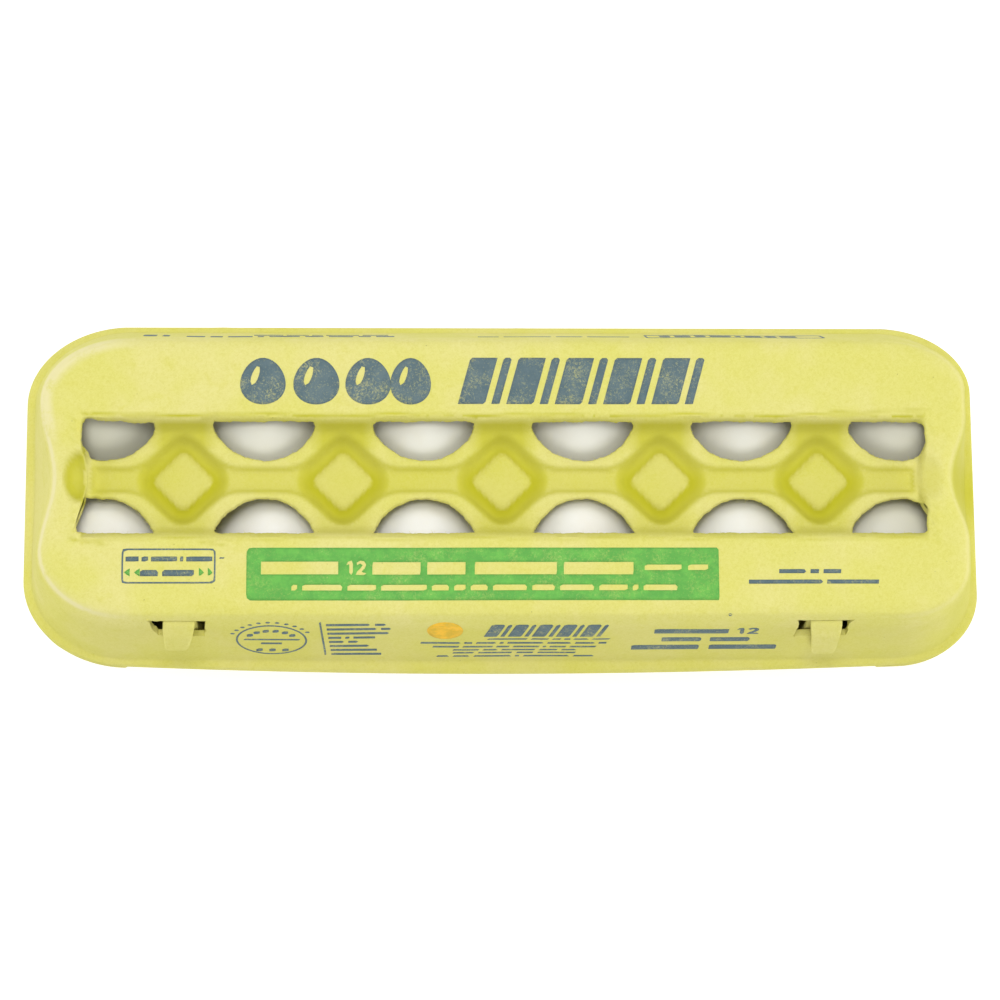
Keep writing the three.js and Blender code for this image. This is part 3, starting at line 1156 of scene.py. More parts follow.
@dataclass
class LidShell:
    """The lid: a domed shell with a sunken band, windows over the eggs and slots for the lock."""

    sizes: CartonSizes
    finish: Material
    outside: Rows = (  # height, side, end, waist and bow, lip first
        (36.15, 0.5, 0.5, 0, 1),
        (36.4, 0.1, 0.1, 0, 1),
        (36.7, 0, 0, 0, 1),
        (37.6, 0.05, 0.1, 0, 1),
        (38.3, 0.5, 0.6, 0, 0.9),
        (38.75, 2.0, 2.6, 0.05, 0.5),
        (39.4, 2.35, 2.95, 0.08, 0.35),
        (64.5, 9.85, 7.2, 0.85, 0.15),
        (66.9, 10.7, 8, 0.94, 0.12),
        (69.1, 12.1, 9.6, 1, 0.1),
        (69.9, 14.6, 12.2, 1, 0.1),
        (70, 17, 14.8, 1, 0.1),
        (70, 20.5, 18.3, 1, 0.1),
    )
    inside: Rows = (
        (36.15, 3.6, 4.3, 0, 0.35),
        (38.7, 3.9, 4.7, 0.06, 0.35),
        (64, 11.7, 9, 0.85, 0.15),
        (66.9, 13, 10.6, 0.94, 0.12),
        (68.2, 15.2, 13, 1, 0.1),
        (68.2, 20.5, 18.3, 1, 0.1),
    )
    band_top: Pair = (129.3, 18.6)
    band_foot: Pair = (126.8, 14.8)
    band_depth: float = 6.0
    channel: tuple[float, float, float, float] = (126.4, 4.3, 2.6, 1.9)  # end, top, floor, depth
    pattern: Pair = (48.85, -0.9)  # pitch and shift of the diamonds
    basin_half: float = 12.1
    notches: Rows = ((-129.0, 5.9, 8.4, 0.9), (129.0, 5.2, 7.6, 0.45))  # x, both halves, share
    low_wall: tuple[float, ...] = (40.2, 41.6, 43.5, 46, 48.5, 51, 53.4, 55.1)
    slot_low: float = 56.0
    slot_high: float = 66.4
    slot_levels: int = 13
    grids: Rows = (  # low and high X, low and high Y, and step of the flat top's points
        (-134, 134, -21.8, 21.8, 0.85),
        (-134, 134, 22.9, 37, 2.0),
        (-134, 134, -37, -22.9, 2.0),
    )
    blurs: Pair = (1.4, 2.2)  # rounding of the outer and of the inner section
    roll: Triple = (0.32, 0.6, 1.6)  # fall, width and steepness of the rounding along a cut edge
    thinned_edge: Pair = (0.75, 0.85)  # thickness at a cut edge, and its gain a millimetre inward
    rolled: tuple[Pair, ...] = ((0.3, 0.16), (0.7, 0.32), (1.0, 0.4))  # share down a cut edge, bulge
    edge_seed: int = 17
    slot_seed: int = 31
    fray_seed: int = 23
    fray_share: float = 0.28
    ragged: float = 0.16  # how far a slot's edge strays
    halo: float = 0.42  # from a window's edge to the ring of points round it
    bare: float = 0.95  # from a window's edge to the nearest point of the grids
    slot_pulls: tuple[Tear, ...] = (  # by X and height
        Tear(-108.0, 66.5, 1.2, -0.9, 0.8),
        Tear(-106.2, 66.4, 0.9, 0.3, -1.5),
        Tear(-107.6, 56.0, 3.2, 1.7, 0.5),
        Tear(-91.4, 66.3, 1.4, 0.3, -0.5),
        Tear(-91.3, 57.0, 2.0, -0.5, 0.9),
        Tear(89.3, 66.4, 1.2, -1.0, 0.6),
        Tear(89.6, 56.2, 2.6, -0.5, -0.9),
        Tear(91.2, 66.4, 0.9, 0.3, -1.0),
        Tear(104.9, 66.2, 1.3, 1.3, 0.9),
        Tear(103.6, 66.3, 0.8, -0.2, -1.1),
        Tear(104.7, 58.6, 1.8, 0.2, 1.2),
    )
    wave: float = 0.22
    swell: Ripple = Ripple(3, 34, 110)
    pucker: Ripple = Ripple(5, 13, 30)
    dents: Ripple = Ripple(8, 30, 90)
    crumples: Rows = (  # from X and Y, to X and Y, height and width
        (-131.5, -18.3, -121.0, -19.9, 0.6, 0.8),
        (-130.9, -8.5, -131.3, -17.0, 0.55, 0.8),
        (100.0, 21.2, 130.5, 21.8, 0.45, 0.75),
        (131.4, -6.5, 131.6, -18.5, 0.5, 0.8),
        (131.4, 5.0, 131.6, 17.5, 0.4, 0.8),
        (-131.6, 12.0, -131.2, 19.8, 0.4, 0.8),
        (-128.6, -6.0, -128.4, 6.4, 0.5, 0.8),
        (126.1, -6.0, 126.0, 6.4, 0.35, 0.7),
        (129.4, -6.0, 129.2, 6.2, 0.35, 0.7),
        (-92.6, 18.6, -87.0, 20.2, 0.5, 0.7),
        (-92.6, -19.3, -85.0, -20.2, 0.45, 0.7),
        (104.0, 15.0, 109.5, 17.0, 0.4, 0.7),
    )
    windows: tuple[WindowCut, ...] = ()

    def depth(self, x: Array, y: Array, grow: float = 0.0) -> Array:
        """How far the top is sunk below its flat level.

        Args:
            x: X of the points.
            y: Y of the points.
            grow: how much wider the sunken forms are, for the underside.

        Returns:
            The depths.
        """
        ax, ay = np.abs(x), np.abs(y)
        top, foot = self.band_top, self.band_foot
        across = (top[1] + grow - ay) / (top[1] - foot[1])
        along = (top[0] + grow - ax) / (top[0] - foot[0])
        band = soft_unit(soft_min(across, along, 0.5), 0.1, 0.3)
        for middle, half_x, half_y, share in self.notches:
            gap = np.hypot((x - middle) / (half_x + grow), y / (half_y + grow))
            inward = (1 - gap) * half_x
            scoop = share * soft_profile(inward, [0, 1.5, half_x], [0, 0.5, 1.0], 0.4)
            band = soft_max(band, np.where(np.sign(middle) * x > 120, scoop, 0), 0.06) - 0.015
        band = np.maximum(band, 0)
        deeper = self.channel[3] * self.basin(x, y, grow) + self.grooves(x, y, grow)
        return self.band_depth * band + band * deeper

    def basin(self, x: Array, y: Array, grow: float) -> Array:
        """The hollow that the channel and the diamonds share, 1 on its floor and 0 outside.

        Args:
            x: X of the points.
            y: Y of the points.
            grow: how much wider it is.

        Returns:
            The hollow's share at each point.
        """
        end, wide, narrow, _ = self.channel
        lane = soft_max(np.abs(y) - wide, (np.abs(x) - end) * 1.2, 0.8)
        edge = soft_min(lane, self.diamond_half(x, y) - self.basin_half, 4.5)
        return soft_unit((grow - edge) / (wide - narrow), 0.3, 0.3)

    def from_diamond(self, x: Array) -> Array:
        """X from the middle of the nearest diamond."""
        pitch, shift = self.pattern
        return x - shift - pitch * np.clip(np.round((x - shift) / pitch), -2, 2)

    def diamond_half(self, x: Array, y: Array) -> Array:
        """Half width of the turned square through each point, about the nearest diamond.

        Args:
            x: X of the points.
            y: Y of the points.

        Returns:
            The half widths.
        """
        local = self.from_diamond(x)
        rough = turned_gauge(local, y, 0.5)
        return turned_gauge(local, y, np.interp(rough, [5.5, 9, 12.3], [0.3, 0.44, 0.63]))

    def grooves(self, x: Array, y: Array, grow: float) -> Array:
        """Depth of the grooves round the diamonds, wider by `grow`, below the basin's floor."""
        knots = [5.9 - grow * 0.8, 7.7 - grow * 0.8, 9.1 + grow, 11.2 + grow]
        return soft_profile(self.diamond_half(x, y), knots, [0.3, 2.15, 2.1, 0.0], 0.7)

    def swelling(self, x: Array, y: Array) -> Array:
        """Height of the slow unevenness that both surfaces share."""
        return self.wave * self.swell.at(x, y)

    def top(self, x: Array, y: Array, level: Array | float) -> Array:
        """Height of the outer surface.

        Args:
            x: X of the points.
            y: Y of the points.
            level: height before the band is sunk.

        Returns:
            The heights.
        """
        wave = self.swelling(x, y) + 0.07 * self.pucker.at(x, y)
        crease = 0.4 * self.crease(x, y, 0.33) * np.where(y > 0, 1.0, 0.45)
        return level - self.depth(x, y) + wave - crease + self.burrs(x, y)

    def crease(self, x: Array, y: Array, width: float) -> Array:
        """The pressed line outside the band's long edges, 1 along it and 0 well away from it."""
        middle = self.band_top[1] + 0.55 + 0.16 * np.sin(x / 7) + 0.1 * np.sin(x / 2.9 + 1)
        return np.exp(-(((np.abs(y) - middle) / width) ** 2)) * (np.abs(x) < self.band_top[0])

    def burrs(self, x: Array, y: Array) -> Array:
        """Small raised creases where the pulp has crumpled beside the windows.

        Args:
            x: X of the points.
            y: Y of the points.

        Returns:
            The heights.
        """
        total = np.zeros(np.broadcast(x, y).shape)
        for x0, y0, x1, y1, high, wide in self.crumples:
            run, rise = x1 - x0, y1 - y0
            along = unit(((x - x0) * run + (y - y0) * rise) / (run**2 + rise**2))
            away = np.hypot(x - x0 - along * run, y - y0 - along * rise)
            total += high * np.exp(-((away / wide) ** 2)) * (0.7 + 0.3 * np.sin(along * 17))
        return total

    def levels(self, path: Array, skips: tuple[int, int]) -> Array:
        """Picks the levels of one surface from its rounded path.

        Args:
            path: samples of height, side, end, waist and bow.
            skips: one sample in how many is kept, below the wall and above it.

        Returns:
            The picked rows, lowest first.
        """
        slots = np.linspace(self.slot_low, self.slot_high, self.slot_levels)
        wall = np.concatenate([self.low_wall, slots])
        rising = path[: int(np.argmax(path[:, 0] > wall[-1] + 0.3)) + 1]
        foot = path[path[:, 0] < wall[0] - 0.25][:: skips[0]]
        head = path[len(rising) :]
        return np.vstack([foot, sampled(rising, rising[:, 0], wall), head[: -1 : skips[1]], head[-1:]])

    def build(self) -> Piece:
        """The lid as one closed mesh, with its tones painted on its points.

        Returns:
            The lid's object.
        """
        sizes = self.sizes
        outer = self.levels(soft_path(self.outside, self.blurs[0]), (2, 4))
        inner = self.levels(soft_path(self.inside, self.blurs[1]), (5, 8))
        book = MeshBook()
        outer_rings = self.rings(book, outer, underside=False)
        inner_rings = self.rings(book, inner, underside=True)
        edges = self.window_edges()
        plan = self.plan(outer[-1], edges)
        x, y = plan.points.T
        gap = np.full(len(x), 99.0)
        near = np.abs(y) < 26
        gap[near] = distances(plan.points[near], np.vstack(edges))
        fall, width, steepness = self.roll
        roll = fall * np.exp(-((gap / width) ** steepness))
        high = self.top(x, y, sizes.height) - roll
        low = sizes.height - sizes.pulp - self.depth(x, y, sizes.pulp) + self.swelling(x, y)
        thin, gain = self.thinned_edge
        low = np.maximum(low, high - (thin + gain * gap + roll))
        sheets = book.add_sheets(plan.triangles, np.stack([x, y, high], 1), np.stack([x, y, low], 1))
        self.close_windows(book, plan, sheets, (high, low))
        self.close_slots(book, ((outer_rings, outer), (inner_rings, inner)))
        book.add_strip(outer_rings[0], inner_rings[0])
        for rings, sheet in zip((outer_rings, inner_rings), sheets):
            book.add_strip(rings[-1], sheet[plan.loops[0]])
        piece = book.build("lid_shell", self.finish)
        self.paint(piece)
        return piece

    def paint(self, piece: Piece) -> None:
        """Paints two tones on the points: painted shade in the hollows and on the walls that face away
        from the light, and a painted highlight on the lit shoulders.

        Args:
            piece: the lid.
        """
        points, facing = np.empty((2, 3 * len(piece.data.vertices)))
        piece.data.vertices.foreach_get("co", points)
        piece.data.vertex_normals.foreach_get("vector", facing)
        x, y, z = points.reshape(-1, 3).T / MM
        y = y - SHIFT_Y
        in_band = unit((22 - np.abs(y)) / 2) * unit((137 - np.abs(x)) / 2) * (z > 55)
        # The hollow layer holds painted shade; the next layer holds a painted highlight.
        write_layer(piece.data, "hollow", unit(self.painted_shade_and_dye(x, y, z, in_band)))
        write_layer(piece.data, "painted_highlight", unit(self.lightening(x, y, z, facing[2::3]) * (1 - in_band)))

    def painted_shade_and_dye(self, x: Array, y: Array, z: Array, in_band: Array) -> Array:
        """How much painted shade each point takes: in the band's grooves, valleys and slopes, along the
        creases and crumples, and on the flange and the walls that face away from the light.

        Args:
            x: X of the points.
            y: Y of the points.
            z: their heights.
            in_band: the share of each point that lies in the sunken band.

        Returns:
            The share of the painted shade tone.
        """
        back, ax, ay = y > 0, np.abs(x), np.abs(y)
        half, basin = self.diamond_half(x, y), self.basin(x, y, 0.0)
        # Painted shade in the grooves round the diamonds, a little lighter on their back side.
        ring = np.interp(half, [6.3, 7.2, 8.3, 9.6, 11.6, 14.0], [0, 1.0, 1.0, 0.92, 0.8, 0])
        ring = ring * (1.0 - 0.12 * unit(y / 6))
        # Painted shade in the valleys beside each diamond, deeper at the back.
        valley = unit((ay - 7) / 3) * unit((12 - np.abs(self.from_diamond(x))) / 6)
        valley = valley * (half > 8) * np.where(back, 0.8, 0.45)
        # Painted shade along the basin's brim, and a base of painted shade over the sunken floor,
        # deeper in the basin.
        brim = 4 * basin * (1 - basin) * np.where(back, 0.65, 0.7)
        calm = 0.2 + 0.3 * basin * (half > 11) + 0.2 * (half < 6.5)
        # The band floor's painted shade, with its left end darker where it faces away from the light.
        deeper_tone = np.max([ring, valley, brim, calm, 0.62 * unit((-116 - x) / 6)], axis=0)
        sunk = unit(self.depth(x, y) / self.band_depth)
        floor = np.clip(sunk - 0.9, 0, 0.1) * 10
        slopes = np.maximum(sunk * (1 - sunk), valley * unit(3 * sunk - 0.4))
        # Painted shade on the band's sunken ends, much stronger at the left end.
        rim = np.where(x < 0, 0.9, 0.35) * in_band * (ax > 128.2) * unit(sunk * 3)
        # Painted shadow on one side of each crumple.
        fold_shadows = (self.burrs(x, y + 0.7) - self.burrs(x, y)) * 1.6
        pinched = self.sizes.pinch(y, 1) / self.sizes.waist[1][0]
        # Painted shade on the crease lines, the crumples, the flange, and the front and right end
        # walls, which face away from the light; the left end walls take only a slightly deeper tone.
        tones = {
            "band": in_band * np.maximum(floor * deeper_tone, slopes),
            "band's ends": rim * np.where(sunk < 0.55, 1.0, 0.9),
            "crease": self.crease(x, y, 0.38) * np.where(back, 1.0, 0.5) * (z > 55),
            "fold_shadows": np.clip(fold_shadows, 0, 0.75) * (z > 55),
            "lip": 0.2 * (z < 39.3),
            "left end": 0.1 * unit((-131 - x) / 5) * (z < 66),
            "right end": (0.3 + 0.5 * pinched) * unit((x - 133) / 6) * unit((68 - z) / 3),
            "front": 0.2 * unit((65 - z) / 5) * (y < -40),
        }
        return np.max(list(tones.values()), axis=0)

    def lightening(self, x: Array, y: Array, z: Array, upward: Array) -> Array:
        """How much painted highlight each point outside the band takes, on the ends' rounded shoulders.

        Args:
            x: X of the points.
            y: Y of the points.
            z: their heights.
            upward: how far each point faces up.

        Returns:
            The share of the painted highlight tone.
        """
        # Painted highlight on the end shoulders, three times stronger at the lit left end, and on the
        # back-left corner's rounding where it faces up to the light.
        shoulder = np.exp(-(((z - 67.9) / 0.9) ** 2)) * np.clip((np.abs(x) - 112) / 16, 0.1, 1)
        bend = unit((0.992 - upward) / 0.04) * unit((upward - 0.25) / 0.3) * (z > 65)
        corner = unit((y - 9) / 8) * unit((-x - 108) / 16)
        return np.maximum(shoulder * np.where(x < 0, 1.0, 0.3), 0.9 * bend * corner)

    def window_edges(self) -> list[Array]:
        """The edges of all windows."""
        return [window.outline() for window in self.windows]

    def frayed(self) -> tuple[Array, Array]:
        """Picks places on the cut edges where fibres stand out.

        Returns:
            The places, and the ways that the fibres point, one a row.
        """
        rng = np.random.default_rng(self.fray_seed)
        spots, ways = [], []
        for edge in self.window_edges():
            picked = rng.uniform(size=len(edge)) < self.fray_share
            x, y = edge[picked].T
            height = self.top(x, y, self.sizes.height) - rng.uniform(0.5, 1.2, len(x))
            spots.append(np.stack([x, y, height], 1))
            ways.append(np.column_stack([-loop_normals(edge)[picked], np.zeros(len(x))]))
        return np.vstack(spots), np.vstack(ways)

    def rings(self, book: MeshBook, levels: Array, underside: bool) -> Array:
        """Adds the rings of one surface of the lid, from its lip to where the flat top starts.

        Args:
            book: the lid's mesh.
            levels: rows of height, side, end, waist and bow.
            underside: whether this is the inner surface.

        Returns:
            Point numbers by level and place.
        """
        sizes = self.sizes
        rows = []
        for z, *insets in levels:
            ring = sizes.ring(*insets)
            x, y = ring.T
            dent = 0.16 * self.dents.at(x + 0.6 * y, np.full(len(x), z)) * unit((z - 38.5) / 6)
            dent = dent * unit((66 - z) / 4)
            x, y = (ring + loop_normals(ring) * dent[:, None]).T
            y = np.minimum(y, sizes.half_depth - sizes.seam)
            if underside:
                sunk = self.depth(x, y, sizes.pulp) - self.swelling(x, y)
            else:
                sunk = z - self.top(x, y, z)
            rows.append(np.stack([x, y, z - unit((z - 60) / 8) * sunk], 1))
        numbers = book.add_points(np.array(rows))
        skip = np.zeros((len(levels) - 1, numbers.shape[1]), bool)
        low, high = self.slot_rows(levels)
        for first, last in self.slot_columns():
            skip[low:high, first:last] = True
        book.add_grid(numbers, skip)
        return numbers

    def slot_rows(self, levels: Array) -> list[int]:
        """Numbers of the levels at the slots' lower and upper edges."""
        return np.abs(levels[:, :1] - [[self.slot_low, self.slot_high]]).argmin(0).tolist()

    def slot_columns(self) -> list[list[int]]:
        """Numbers of the ring's points at each slot's two edges."""
        sizes = self.sizes
        start = 2 * sizes.end_steps + 3 * sizes.corner_steps + sizes.back_steps
        away = np.abs(sizes.front_columns - np.array(sizes.slot_edges)[:, :, None])
        return (start + away.argmin(2)).tolist()

    def close_slots(self, book: MeshBook, surfaces: Sequence[tuple[Array, Array]]) -> None:
        """Joins the edges of each slot through the wall, a little torn.

        Args:
            book: the lid's mesh.
            surfaces: point numbers and levels of the outer and of the inner surface.
        """
        points = np.vstack(book.blocks)
        rng = np.random.default_rng(self.slot_seed)
        for first, last in self.slot_columns():
            loops = []
            for rings, levels in surfaces:
                low, high = self.slot_rows(levels)
                there = rings[low, first:last], rings[low:high, last]
                back = rings[high, last:first:-1], rings[high:low:-1, first]
                loops.append(np.concatenate([*there, *back]))
            ragged = rng.uniform(-self.ragged, self.ragged, (len(loops[0]), 2))
            for loop in loops:
                spots = points[loop][:, [0, 2]]
                for tear in self.slot_pulls:
                    spots = tear.pulled(spots)
                points[loop, 0], points[loop, 2] = (spots + ragged).T
            book.add_strip(*loops)
        book.blocks = [points]

    def plan(self, last_level: Array, edges: list[Array]) -> PlanMesh:
        """Plan of the lid's flat top with its windows.

        Args:
            last_level: height, side, end, waist and bow where the flat top starts.
            edges: the windows' outlines.

        Returns:
            The triangulated plan.
        """
        inner = np.vstack([lattice(*grid) for grid in self.grids])
        inner = inner[distances(inner, np.vstack(edges)) >= self.bare]
        halo = [edge + loop_normals(edge) * self.halo for edge in edges]
        return PlanMesh.cover(self.sizes.ring(*last_level[1:]), edges, np.vstack([*halo, inner]), 0.3)

    def close_windows(self, book: MeshBook, plan: PlanMesh, sheets: tuple[Array, Array],
                      heights: tuple[Array, Array]) -> None:
        """Joins the edges of each window through the wall, rounded towards its opening.

        Args:
            book: the lid's mesh.
            plan: plan of the flat top.
            sheets: point numbers of the outer and of the inner surface.
            heights: heights of both.
        """
        rng = np.random.default_rng(self.edge_seed)
        for loop in plan.loops[1:]:
            steps = []
            for share, bulge in self.rolled:
                steps.append((share, -(bulge + rng.uniform(-0.05, 0.07, len(loop)))[:, None]))
            (upper, lower), (high, low) = sheets, heights
            book.add_edge((upper[loop], lower[loop]), plan.points[loop], (high[loop], low[loop]), steps)


# ------------------------------------------------------------------ tray


@dataclass
class TrayShell:
    """The tray: twelve cups with raised pads, dipped walls between them, posts and a flat rim."""

    sizes: CartonSizes
    finish: Material
    roundness: float = 0.66
    crease_in: float = 3.9
    relief_half: float = 116.8
    saddle: tuple[float, float, float, float] = (27.6, 7.5, 8.0, 12.5)  # low, across, foot, top
    post: tuple[Pair, ...] = ((5.2, 57.8), (6.1, 56.9), (9.8, 36), (12.8, 21), (14.5, -20))
    rolled: tuple[Pair, ...] = ((0.12, 0.22), (0.3, 0.36), (0.7, 0.36), (0.88, 0.22))
    roll: float = 0.36  # the edge's greatest bulge, which brings it out to the border
    cup_halves: tuple[float, ...] = (
        10, 11.2, 11.8, 12.5, 13.2, 14.2, 16, 18, 20, 21.6, 22.5, 22.9, 23.3, 23.8, 24.4, 24.9, 25.6,
    )
    pad_rings: tuple[Pair, ...] = ((5.4, 28), (6.0, 28), (6.6, 28), (7.3, 28), (4.2, 20), (2.5, 10))
    post_halves: tuple[float, ...] = (2.5, 4.6, 5.2, 5.7, 6.2, 7, 7.9, 8.8, 9.8, 10.9, 12)

    def local(self, x: Array, y: Array) -> tuple[Array, Array]:
        """Place relative to the nearest cup's middle."""
        sizes = self.sizes
        column = sizes.pitch * (np.clip(np.floor(x / sizes.pitch), -3, 2) + 0.5)
        return x - column, np.abs(y) - sizes.row

    def post_profile(self, x: Array, y: Array, shift: float, blur: float) -> Array:
        """Height of the nearest post's skin.

        Args:
            x: X of the points.
            y: Y of the points.
            shift: how far the skin is set in.
            blur: half length of its rounded corners.

        Returns:
            The heights.
        """
        pitch = self.sizes.pitch
        half = turned_gauge(x - pitch * np.clip(np.round(x / pitch), -2, 2), y, 0.3)
        halves, heights = zip(*self.post)
        return soft_profile(half + shift, (0, *halves), (heights[0], *heights), blur)

    def top(self, x: Array, y: Array) -> Array:
        """Height of the upper surface.

        Args:
            x: X of the points.
            y: Y of the points.

        Returns:
            The heights.
        """
        sizes = self.sizes
        u, v = self.local(x, y)
        last = sizes.columns[5]
        inner = soft_unit(np.minimum((30.5 - np.abs(y)) / 3, (last + 6 - np.abs(x)) / 3), 0.2, 0.2)
        rim = sizes.rim - sizes.seam - 1.7 * inner
        half, out = rounded_gauge(u, v, self.roundness), np.hypot(u, v)
        knots, heights = [0, 11.2, 12.4, 22.7, 23.3, 24.0], [1.8, 1.9, 3.6, 27.3, 34.6, 35.85]
        cup = soft_profile(half, knots, heights, 0.42)
        pad = soft_profile(out, [0, 5.4, 7.2, 7.6], [4.5, 4.4, 1.6, -6], 0.5)
        low, across, foot, head = self.saddle
        rise = (sizes.rim - low) / (head - foot)
        walls = soft_ramp((np.abs(v) - foot) * rise, 1.4)
        walls = walls + 60 * soft_ramp(sizes.pitch / 2 - np.abs(u) - across, 0.3)
        ties = soft_ramp((np.abs(u) - foot) * rise, 1.4) + 60 * soft_ramp(np.abs(y) - across, 0.3)
        walls = np.where((np.abs(x) > last) & (np.sign(u) == np.sign(x)), 60, walls)
        floor = soft_max(np.minimum(cup, rim), pad, 0.5)
        for dip in (walls, ties):
            floor = soft_min(floor, low + dip, 1.1)
        return soft_max(floor, self.post_profile(x, y, 0.0, 0.45), 1.6)

    def bottom(self, x: Array, y: Array) -> Array:
        """Height of the lower surface.

        Args:
            x: X of the points.
            y: Y of the points.

        Returns:
            The heights.
        """
        u, v = self.local(x, y)
        half, out = rounded_gauge(u, v, self.roundness), np.hypot(u, v)
        cup = soft_profile(half, [0, 12.2, 13.6, 24.5, 25.0], [0, 0, 1.8, 25.3, 33.85], 0.35)
        hollow = soft_profile(out, [0, 4.2, 5.8, 6.4], [2.7, 2.6, 0, -3], 0.4)
        post = np.minimum(self.post_profile(x, y, 2.1, 0.4), 56.0)
        return np.minimum(np.maximum(np.maximum(cup, hollow), post), self.top(x, y) - 0.9)

    def border(self) -> Array:
        """The rim's outline, set back along the front where the flap is creased up."""
        x, y = self.sizes.ring(0, 0, 0, 1).T
        front = -(self.sizes.half_depth - self.crease_in)
        y = np.where((np.abs(x) < self.relief_half) & (y < front), front, y)
        y = np.minimum(y, self.sizes.half_depth - self.sizes.seam)
        return soft_loop(np.stack([x, y], 1), 1.6, 2.2)

    def spots(self) -> Array:
        """Points that follow the cups, pads, posts and dips."""
        sizes, ray = self.sizes, circle(72)
        square = ray / rounded_gauge(*ray.T, self.roundness)[:, None]
        rings = [square * half for half in self.cup_halves]
        cup = np.vstack([*rings, *(radius * circle(count) for radius, count in self.pad_rings)])
        inside = np.abs(cup[:, 0]) <= sizes.pitch / 2 + 0.01
        points = []
        for column in sizes.columns:
            outside = (np.abs(column) > sizes.columns[5] - 1) & (cup[:, 0] * column > 0)
            for sign in (1, -1):
                kept = (inside | outside) & (cup[:, 1] * sign > -sizes.row)
                points.append(cup[kept] + (column, sign * sizes.row))
        turned = turned_gauge(*ray.T, 0.3)[:, None]
        for post in sizes.posts:
            for half in self.post_halves:
                points.append((post, 0) + (ray / turned * half)[:: 2 if half < 9 else 1])
        lines = [lattice(-150, 150, -24.3, 24.3, 2.2), lattice(-150, 150, -58, 56, 4.5)]
        return thinned(np.vstack([*points, *lines]), 0.28)

    def build(self) -> Piece:
        """The tray as one closed mesh.

        Returns:
            The tray's object.
        """
        plan = PlanMesh.cover(self.border(), [], self.spots(), 0.7)
        book = MeshBook()
        x, y = plan.points.T
        edge = plan.loops[0]
        high, low = self.top(x, y), self.bottom(x, y)
        upper, lower = book.add_sheets(
            plan.triangles, np.stack([x, y, high], 1), np.stack([x, y, low], 1)
        )
        steps = [(share, bulge - self.roll) for share, bulge in self.rolled]
        book.add_edge((upper[edge], lower[edge]), plan.points[edge], (high[edge], low[edge]), steps)
        return book.build("tray_shell", self.finish)


# ------------------------------------------------------------------ lock flap


@dataclass
class LockFlap:
    """The flap behind the lid's front wall, with two tabs that hook out through the slots."""

    sizes: CartonSizes
    finish: Material
    half_x: float = 116.0
    thickness: float = 1.6
    path: tuple[Pair, ...] = (
        (-49.75, 36.5),
        (-46.8, 46.0),
        (-42.0, 61.4),
        (-42.2, 64.7),
        (-44.2, 65.3),
        (-47.9, 61.6),
        (-50.6, 55.6),
        (-51.9, 49.2),
    )
    strip_top: float = 46.0
    tip_short: Pair = (5.3, 1.3)
    tip_swerve: Pair = (-1.6, 0.6)
    insets: Triple = (0.12, 0.35, 0.8)
    wave: Ripple = Ripple(21, 12, 60)
    deeper_tone: float = 0.09

    def tab(self, middle: float, strip: float, bend: float, tip: float, swerve: float) -> list[Pair]:
        """Corners of one tab in the flap's own plane, from left to right.

        Args:
            middle: X of the slot.
            strip: length at which the tab leaves the strip.
            bend: length at the tab's outward bend.
            tip: length at its tip.
            swerve: how far the tip leans to the right.

        Returns:
            Corners as (x, length).
        """
        side = (
            (10.5, strip),
            (8.2, strip + 1.2),
            (5.6, strip + 5.5),
            (4.7, bend - 1),
            (4.9, bend + 1.5),
            (4.8, bend + 4),
            (4.4, bend + 7),
            (3.7, tip - 1.4),
            (2.7, tip),
        )
        shift = np.interp([s for _, s in side], [strip + 2, bend, tip], [0, 0.6, 0.6 + swerve])
        near = [(middle + step - half, s) for (half, s), step in zip(side, shift)]
        far = [(middle + step + half, s) for (half, s), step in zip(side, shift)]
        return near + far[::-1]

    def outline(self, strip: float, bend: float, end: float) -> Array:
        """The flap's outline in its own plane, counter-clockwise.

        Args:
            strip: length at which the tabs leave the strip.
            bend: length at the tabs' outward bend.
            end: length of the whole path.

        Returns:
            The outline as (x, length).
        """
        half = self.half_x
        corners = [(half, 0.0), (half, strip - 3), (half - 2, strip)]
        tabs = list(zip(self.sizes.slot_edges, self.tip_short, self.tip_swerve))
        for (low, high), short, swerve in reversed(tabs):
            corners += self.tab((low + high) / 2, strip, bend, end - short, swerve)[::-1]
        corners += [(2 - half, strip), (-half, strip - 3), (-half, 0.0)]
        return soft_loop(np.array(corners), 1.5, 1.0)

    def build(self) -> Piece:
        """The flap as one closed mesh of even thickness with rounded edges.

        Returns:
            The flap's object.
        """
        line = soft_path(self.path, 2.6, 0.1)
        length = run_length(line)
        strip = float(np.interp(self.strip_top, line[:200, 1], length[:200]))
        bend = float(length[np.argmax(line[:, 1])]) - 1.2
        outline = self.outline(strip, bend, float(length[-1]))
        middles = [(low + high) / 2 for low, high in self.sizes.slot_edges]
        grids = [lattice(middle - 11, middle + 11, 0, length[-1], 1.1) for middle in middles]
        grids.append(lattice(-115, 115, 0, strip, 2.6))
        insets = [outline - loop_normals(outline) * inset for inset in self.insets]
        inner = thinned(np.vstack(grids), 0.6)
        inner = inner[distances(inner, outline) >= 1.3]
        plan = PlanMesh.cover(outline, [], np.vstack([*insets, inner]), 0.05)
        x, s = plan.points.T
        gap = unit(distances(plan.points, outline) / (self.thickness / 2))
        thick = self.thickness / 2 * np.sqrt(unit(1 - (1 - gap) ** 2))
        y, z = sampled(line, length, s).T
        ny, nz = sampled(path_normals(line), length, s).T
        wave = 0.1 * self.wave.at(x, s) * (s < strip)
        offsets = thick + wave, wave - thick
        sheets = [np.stack([x, y + ny * offset, z + nz * offset], 1) for offset in offsets]
        book = MeshBook()
        book.add_sheets(plan.triangles, *sheets)
        flap = book.build("lock_flap", self.finish)
        write_layer(flap.data, "hollow", np.full(len(flap.data.vertices), self.deeper_tone))
        return flap


# ------------------------------------------------------------------ creases


